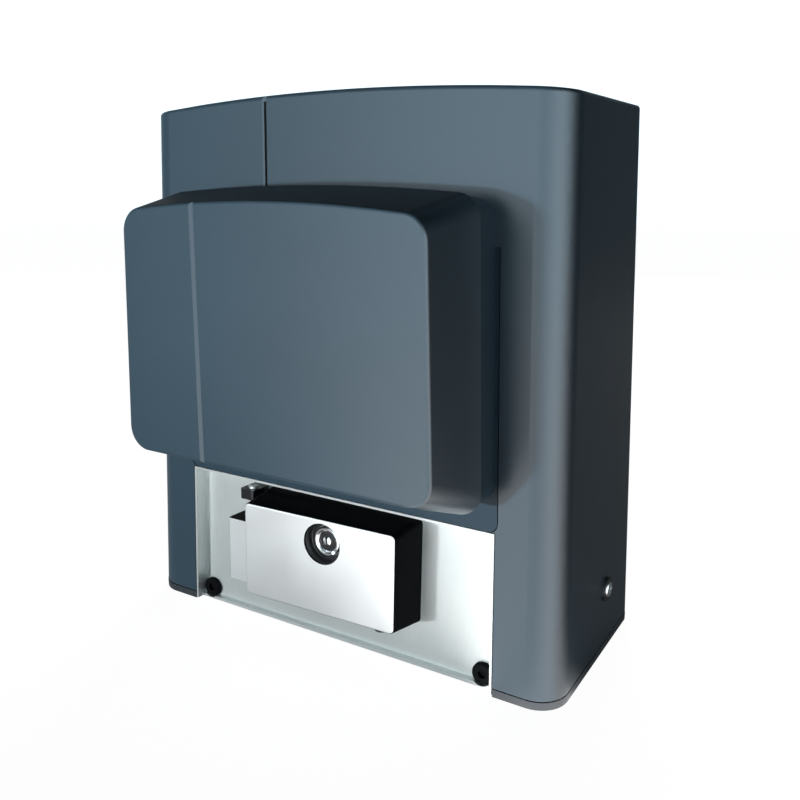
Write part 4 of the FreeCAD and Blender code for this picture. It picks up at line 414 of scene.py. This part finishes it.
def addLock():
    size = lockSetting
    outer = size["wellRadius"] - size["clear"]
    inner = outer - size["shadeCupWall"]
    hole, low, floor, deep = size["shadeCupHole"], size["shadeCupLow"], size["shadeCupFloor"], size["shadeCupDeep"]
    # Painted shade in the well: a black cup lines the recess around the lock and darkens it as its shade would
    shadeCup = bmesh.new()
    spun(shadeCup, [(hole, low), (outer, low), (outer, deep - 0.2), (outer - 0.15, deep), (inner + 0.1, deep),
               (inner, deep - 0.2), (inner, floor + 0.3), (inner - 0.4, floor), (hole, floor)], 96)
    newPiece("lock_well_shade", shadeCup, materials["black_plastic"], "door", lockPlace)
    ring = bmesh.new()
    low, high = size["ringLow"], size["ringHigh"]
    inside, outside = size["ringInner"], size["ringOuter"]
    spun(ring, [(inside + 0.1, low), (outside - 0.5, low), (outside - 0.15, low + 0.4),
                (outside - 0.3, high - 0.35), (outside - 0.8, high), (inside + 0.7, high),
                (inside + 0.15, high - 0.4), (inside, low + 0.3)], 84, size["ringSweep"], size["ringStart"])
    newPiece("lock_ring", ring, materials["chrome"], "door", lockPlace)
    # dark stepped face of the plug, then its bright faceted core
    face = bmesh.new()
    front, inside, outside = size["plugFront"], size["faceInner"], size["faceOuter"]
    spun(face, [(inside, front), (outside - 0.3, front), (outside, front + 0.25), (outside - 0.2, front + 0.55),
                (outside - 1.1, front + 0.6), (outside - 1.4, front + 0.3), (inside, front + 0.3)], 64)
    newPiece("lock_plug_face", face, materials["black_steel"], "lock", lockPlace)
    core = bmesh.new()
    for side in (-1, 1):
        inner = side * size["slotHalf"]
        corners = [core.verts.new((inner + side * math.cos(math.radians(angle)) * size["coreWide"],
                                   math.sin(math.radians(angle)) * size["coreHigh"],
                                   front + size["coreFrom"])) for angle in (-75, -45, -15, 15, 45, 75)]
        end = drawnOut(core, core.faces.new(corners), size["coreUpright"])
        end = drawnOut(core, end, size["coreTaper"])
        bmesh.ops.scale(core, verts=end.verts, vec=size["coreTop"], space=Matrix.Translation((-inner, 0, 0)))
    closeEnds(core)
    newPiece("lock_core", core, materials["chrome"], "lock", lockPlace, 20)
    print("lock made")


addLock()


# Dull black strip in the groove of the main cover: painted shade of the groove

grooveSetting = {
    "offset": -47.5, "from": 263.2, "to": 344.2, "left": -0.45, "right": 1.66, "front": 0.30, "back": 1.14,
    "halfWidth": 1.7, "deep": 1.2, "slopeWide": 2.55, "gap": 0.06, "rounding": 0.15,
}


def addGrooveShade():
    size = grooveSetting
    left, right, front, back = size["left"], size["right"], size["front"], size["back"]
    # the groove's floor falls from its left edge to its full depth
    floorAt = size["deep"] * (left + size["halfWidth"]) / size["slopeWide"] - size["gap"]
    slopeEnd = size["slopeWide"] - size["halfWidth"]
    outline = [(left, front), (right, front), (right, back), (slopeEnd, back), (left, floorAt)]
    strip = bmesh.new()
    foot = strip.faces.new([strip.verts.new((size["offset"] + x, y, size["from"])) for x, y in outline])
    drawnOut(strip, foot, size["to"] - size["from"])
    closeEnds(strip)
    bmesh.ops.recalc_face_normals(strip, faces=strip.faces)
    frontEdges = [edge for edge in strip.edges if abs(edge.verts[0].co.z - edge.verts[1].co.z) > 1
                  and min(edge.verts[0].co.y, edge.verts[1].co.y) < front + 0.01]
    bmesh.ops.bevel(strip, geom=frontEdges, offset=size["rounding"], segments=2, affect="EDGES", profile=0.5,
                    material=-1)
    # the strip paints the shade in the groove
    newPiece("cover_groove_painted_shade", strip, materials["dull_black"], "housing", frontTurn)


addGrooveShade()
print("groove painted shade made")


# Spring coil at the foot of the limit striker

coilSetting = {
    "x": -50.0, "y": 73.2, "from": 168.2, "to": 186.5, "radius": 3.75, "wire": 0.55, "turns": 13,
    "stepsPerTurn": 20, "sides": 8,
}


def addStrikerCoil():
    size = coilSetting
    coil = bmesh.new()
    steps = size["turns"] * size["stepsPerTurn"]
    around = [2 * math.pi * k / size["sides"] for k in range(size["sides"])]
    section = [(size["radius"] + math.cos(angle) * size["wire"], math.sin(angle) * size["wire"])
               for angle in around]
    spun(coil, section, steps, 360 * size["turns"], 0, (size["to"] - size["from"]) / steps)
    bmesh.ops.translate(coil, verts=coil.verts, vec=(size["x"], size["y"], size["from"]))
    newPiece("striker_coil", coil, materials["zinc_steel"], "striker", None, 70)


addStrikerCoil()
print("striker coil made")


# Small parts on the circuit board, laid out in the leaning front frame

boardFace = 13.6    # board front before the cover face
chipSetting = {
    "thick": 2.6, "middle": 1.9, "edge": 0.3,
    "leg": (0.55, 1.7, 0.8), "legPast": 0.45, "legMiddle": 0.87,
    "chips": (    # x, z, wide, high, legs on each side
        (3.0, 196.0, 22.0, 8.0, 14), (34.0, 196.0, 14.0, 8.0, 8), (52.0, 232.0, 12.0, 8.0, 6),
        (62.0, 196.0, 14.0, 14.0, 10)),
}
resistorSetting = {
    "length": 6.4, "radius": 1.15, "pitch": 4.2, "clear": 0.12,
    "end": 0.8, "waist": 0.86,    # shares of the radius
    "round": 0.5, "bead": 1.4, "taper": 1.9,    # from each end
    "lead": 0.3, "leadLong": 1.5, "footPast": 0.1, "footClear": 0.03,
    "rows": (    # first x, z, how many
        (-70.0, 222.0, 8), (-70.0, 236.0, 8), (-32.0, 222.0, 6), (-32.0, 236.0, 6), (36.0, 214.0, 8),
        (-70.0, 174.0, 12), (-10.0, 176.0, 12)),
}


def onBoard(x, z, out):    # a point in the leaning front frame, by how far it stands off the board
    return Vector((x, -boardFace - out, z))


def addBlock(shape, middle, sides):
    made = bmesh.ops.create_cube(shape, size=1.0)["verts"]
    bmesh.ops.scale(shape, verts=made, vec=sides)
    bmesh.ops.translate(shape, verts=made, vec=middle)
    return made


def addRod(shape, middle, radius, depth, outwards=False):    # along z, or out of the board
    made = bmesh.ops.create_cone(shape, cap_ends=True, segments=8, radius1=radius, radius2=radius,
                                 depth=depth)["verts"]
    if outwards:
        bmesh.ops.rotate(shape, verts=made, cent=(0, 0, 0), matrix=Matrix.Rotation(math.pi / 2, 3, "X"))
    bmesh.ops.translate(shape, verts=made, vec=middle)


def addChips():
    size = chipSetting
    cases = bmesh.new()
    legs = bmesh.new()
    for x, z, wide, high, count in size["chips"]:
        made = addBlock(cases, onBoard(x, z, size["middle"]), (wide, size["thick"], high))
        sides = list({edge for vert in made for edge in vert.link_edges})
        bmesh.ops.bevel(cases, geom=sides, offset=size["edge"], segments=1, affect="EDGES", profile=0.5,
                        material=-1)
        for k in range(count):
            along = x - wide / 2 + (k + 0.5) * wide / count
            for side in (-1, 1):
                beside = z + side * (high / 2 + size["legPast"])
                addBlock(legs, onBoard(along, beside, size["legMiddle"]), size["leg"])
    newPiece("board_chips", cases, materials["black_plastic"], "housing", frontTurn)
    newPiece("chip_legs", legs, materials["zinc_steel"], "housing", frontTurn)


def addResistors():
    size = resistorSetting
    bodies = bmesh.new()
    leads = bmesh.new()
    half = size["length"] / 2
    r = size["radius"]
    lower = [(0.01, -half), (r * size["end"], -half), (r, -half + size["round"]), (r, -half + size["bead"]),
             (r * size["waist"], -half + size["taper"])]
    profile = lower + [(radius, -height) for radius, height in reversed(lower)]
    reach = r + size["footPast"]
    for x, z, count in size["rows"]:
        for k in range(count):
            spot = onBoard(x + k * size["pitch"], z, r + size["clear"])
            one = bmesh.new()
            spun(one, profile, 16)
            bmesh.ops.translate(one, verts=one.verts, vec=spot)
            mesh = bpy.data.meshes.new("one")
            one.to_mesh(mesh)
            one.free()
            bodies.from_mesh(mesh)
            bpy.data.meshes.remove(mesh)
            for side in (-1, 1):
                beside = Vector((0, 0, side * (half + size["leadLong"] / 2)))
                addRod(leads, spot + beside, size["lead"], size["leadLong"])
                foot = onBoard(spot.x, z + side * (half + size["leadLong"]), reach / 2 + size["footClear"])
                addRod(leads, foot, size["lead"], reach, True)
    newPiece("resistors", bodies, materials["resistor_tan"], "housing", frontTurn, 50)
    newPiece("resistor_leads", leads, materials["zinc_steel"], "housing", frontTurn)


addChips()
addResistors()
print("chips and resistors made")


# Floor, light and sky

studioBands = (
    # degrees to the right of straight in front, brightness that gloss picks up
    (-180, 0.2), (-150, 0.4), (-110, 0.4), (-75, 0.1), (-54, 0.1), (-45, 0.4), (-37, 1.8), (-30, 4.0),
    (-20, 4.2), (0, 3.2), (25, 4.0), (50, 5.6), (70, 5.8), (94, 3.2), (112, 0.8), (130, 0.06),
    (160, 0.06), (180, 0.15),
)
floorSetting = {
    "half": 6.0, "below": 0.0002, "grey": 0.1, "roughness": 0.9, "specular": 0.1,
    "seen": 0.97, "lighting": 0.012, "gloss": 0.85,
    "fan": (0.12, -0.05, 0),    # where its bands start, the right front corner, so the side stays dark
}
skySetting = {"colour": (0.80, 0.93, 1), "seen": 1.3, "lighting": 0.02, "gloss": 1.0}
glossFade = {"from": 0.3, "to": 0.75, "left": 0.04}    # heights where the bands fade, and what stays of them


# White where the camera looks straight at it, the bands in gloss, and a low even light for the rest

def studioStrength(tree, place, setting):
    rays = addNode(tree, "ShaderNodeLightPath")
    parts = addNode(tree, "ShaderNodeSeparateXYZ", {"Vector": place})
    ahead = addNode(tree, "ShaderNodeMath", {0: parts.outputs["Y"], 1: -1.0}, operation="MULTIPLY")
    angle = addNode(tree, "ShaderNodeMath", {0: parts.outputs["X"], 1: ahead.outputs[0]}, operation="ARCTAN2")
    share = addNode(tree, "ShaderNodeMapRange", {"Value": angle.outputs[0], "From Min": -math.pi,
                                                 "From Max": math.pi})
    top = max(value for degrees, value in studioBands)
    ramp = addNode(tree, "ShaderNodeValToRGB", {"Fac": share.outputs["Result"]})
    elements = ramp.color_ramp.elements
    for k, (degrees, value) in enumerate(studioBands):
        spot = (degrees + 180) / 360
        element = elements[k] if k < 2 else elements.new(spot)
        element.position = spot
        element.color = (value / top, value / top, value / top, 1)
    full = top * setting["gloss"]
    low = addNode(tree, "ShaderNodeMapRange", {"Value": parts.outputs["Z"], "From Min": glossFade["from"],
                                               "From Max": glossFade["to"], "To Min": full,
                                               "To Max": full * glossFade["left"]})
    gloss = addNode(tree, "ShaderNodeMath", {0: ramp.outputs["Color"], 1: low.outputs["Result"]},
                    operation="MULTIPLY")
    other = addNode(tree, "ShaderNodeMix", {"Factor": rays.outputs["Is Glossy Ray"], "A": setting["lighting"],
                                            "B": gloss.outputs[0]}, data_type="FLOAT")
    return addNode(tree, "ShaderNodeMix", {"Factor": rays.outputs["Is Camera Ray"],
                                           "A": other.outputs["Result"], "B": setting["seen"]},
                   data_type="FLOAT").outputs["Result"]


def addFloor():
    size = floorSetting
    mesh = bpy.data.meshes.new("floor")
    shape = bmesh.new()
    bmesh.ops.create_grid(shape, x_segments=1, y_segments=1, size=size["half"])
    bmesh.ops.translate(shape, verts=shape.verts, vec=(0, 0, -size["below"]))
    shape.to_mesh(mesh)
    shape.free()
    floor = bpy.data.objects.new("floor", mesh)
    bpy.context.scene.collection.objects.link(floor)
    material = bpy.data.materials.new("pale floor")
    material.use_nodes = True
    tree = material.node_tree
    surface = tree.nodes["Principled BSDF"]
    surface.inputs["Base Color"].default_value = (size["grey"], size["grey"], size["grey"], 1)
    surface.inputs["Roughness"].default_value = size["roughness"]
    surface.inputs["Specular IOR Level"].default_value = size["specular"]
    surface.inputs["Emission Color"].default_value = (1, 1, 1, 1)
    middle = addNode(tree, "ShaderNodeTexCoord").outputs["Object"]
    place = addNode(tree, "ShaderNodeVectorMath", {0: middle, 1: size["fan"]}, operation="SUBTRACT").outputs[0]
    tree.links.new(studioStrength(tree, place, size), surface.inputs["Emission Strength"])
    mesh.materials.append(material)


lights = (
    # name, place, aimed at, width, power, colour
    ("key", (-1.20, -2.60, 0.03), (0.0, -0.05, 0.17), 0.24, 96, (0.92, 0.98, 1.0)),
    ("rear", (-0.50, 1.90, 1.00), (0.0, 0.0, 0.17), 1.4, 36, (1.0, 1.0, 1.0)),
)


def addLights():
    for name, place, aim, width, power, colour in lights:
        data = bpy.data.lights.new(name, "AREA")
        data.shape = "DISK"
        data.size = width
        data.energy = power
        data.color = colour
        lamp = bpy.data.objects.new(name, data)
        bpy.context.scene.collection.objects.link(lamp)
        lamp.location = place
        lamp.visible_glossy = False
        lamp.rotation_mode = "QUATERNION"
        lamp.rotation_quaternion = (Vector(aim) - Vector(place)).to_track_quat("-Z", "Y")
    world = bpy.data.worlds.new("studio")
    world.use_nodes = True
    tree = world.node_tree
    background = tree.nodes["Background"]
    background.inputs["Color"].default_value = (*skySetting["colour"], 1)
    around = addNode(tree, "ShaderNodeTexCoord").outputs["Generated"]
    tree.links.new(studioStrength(tree, around, skySetting), background.inputs["Strength"])
    bpy.context.scene.world = world
    bpy.context.scene.view_settings.view_transform = "Standard"


addFloor()
addLights()
print("floor and lights set")
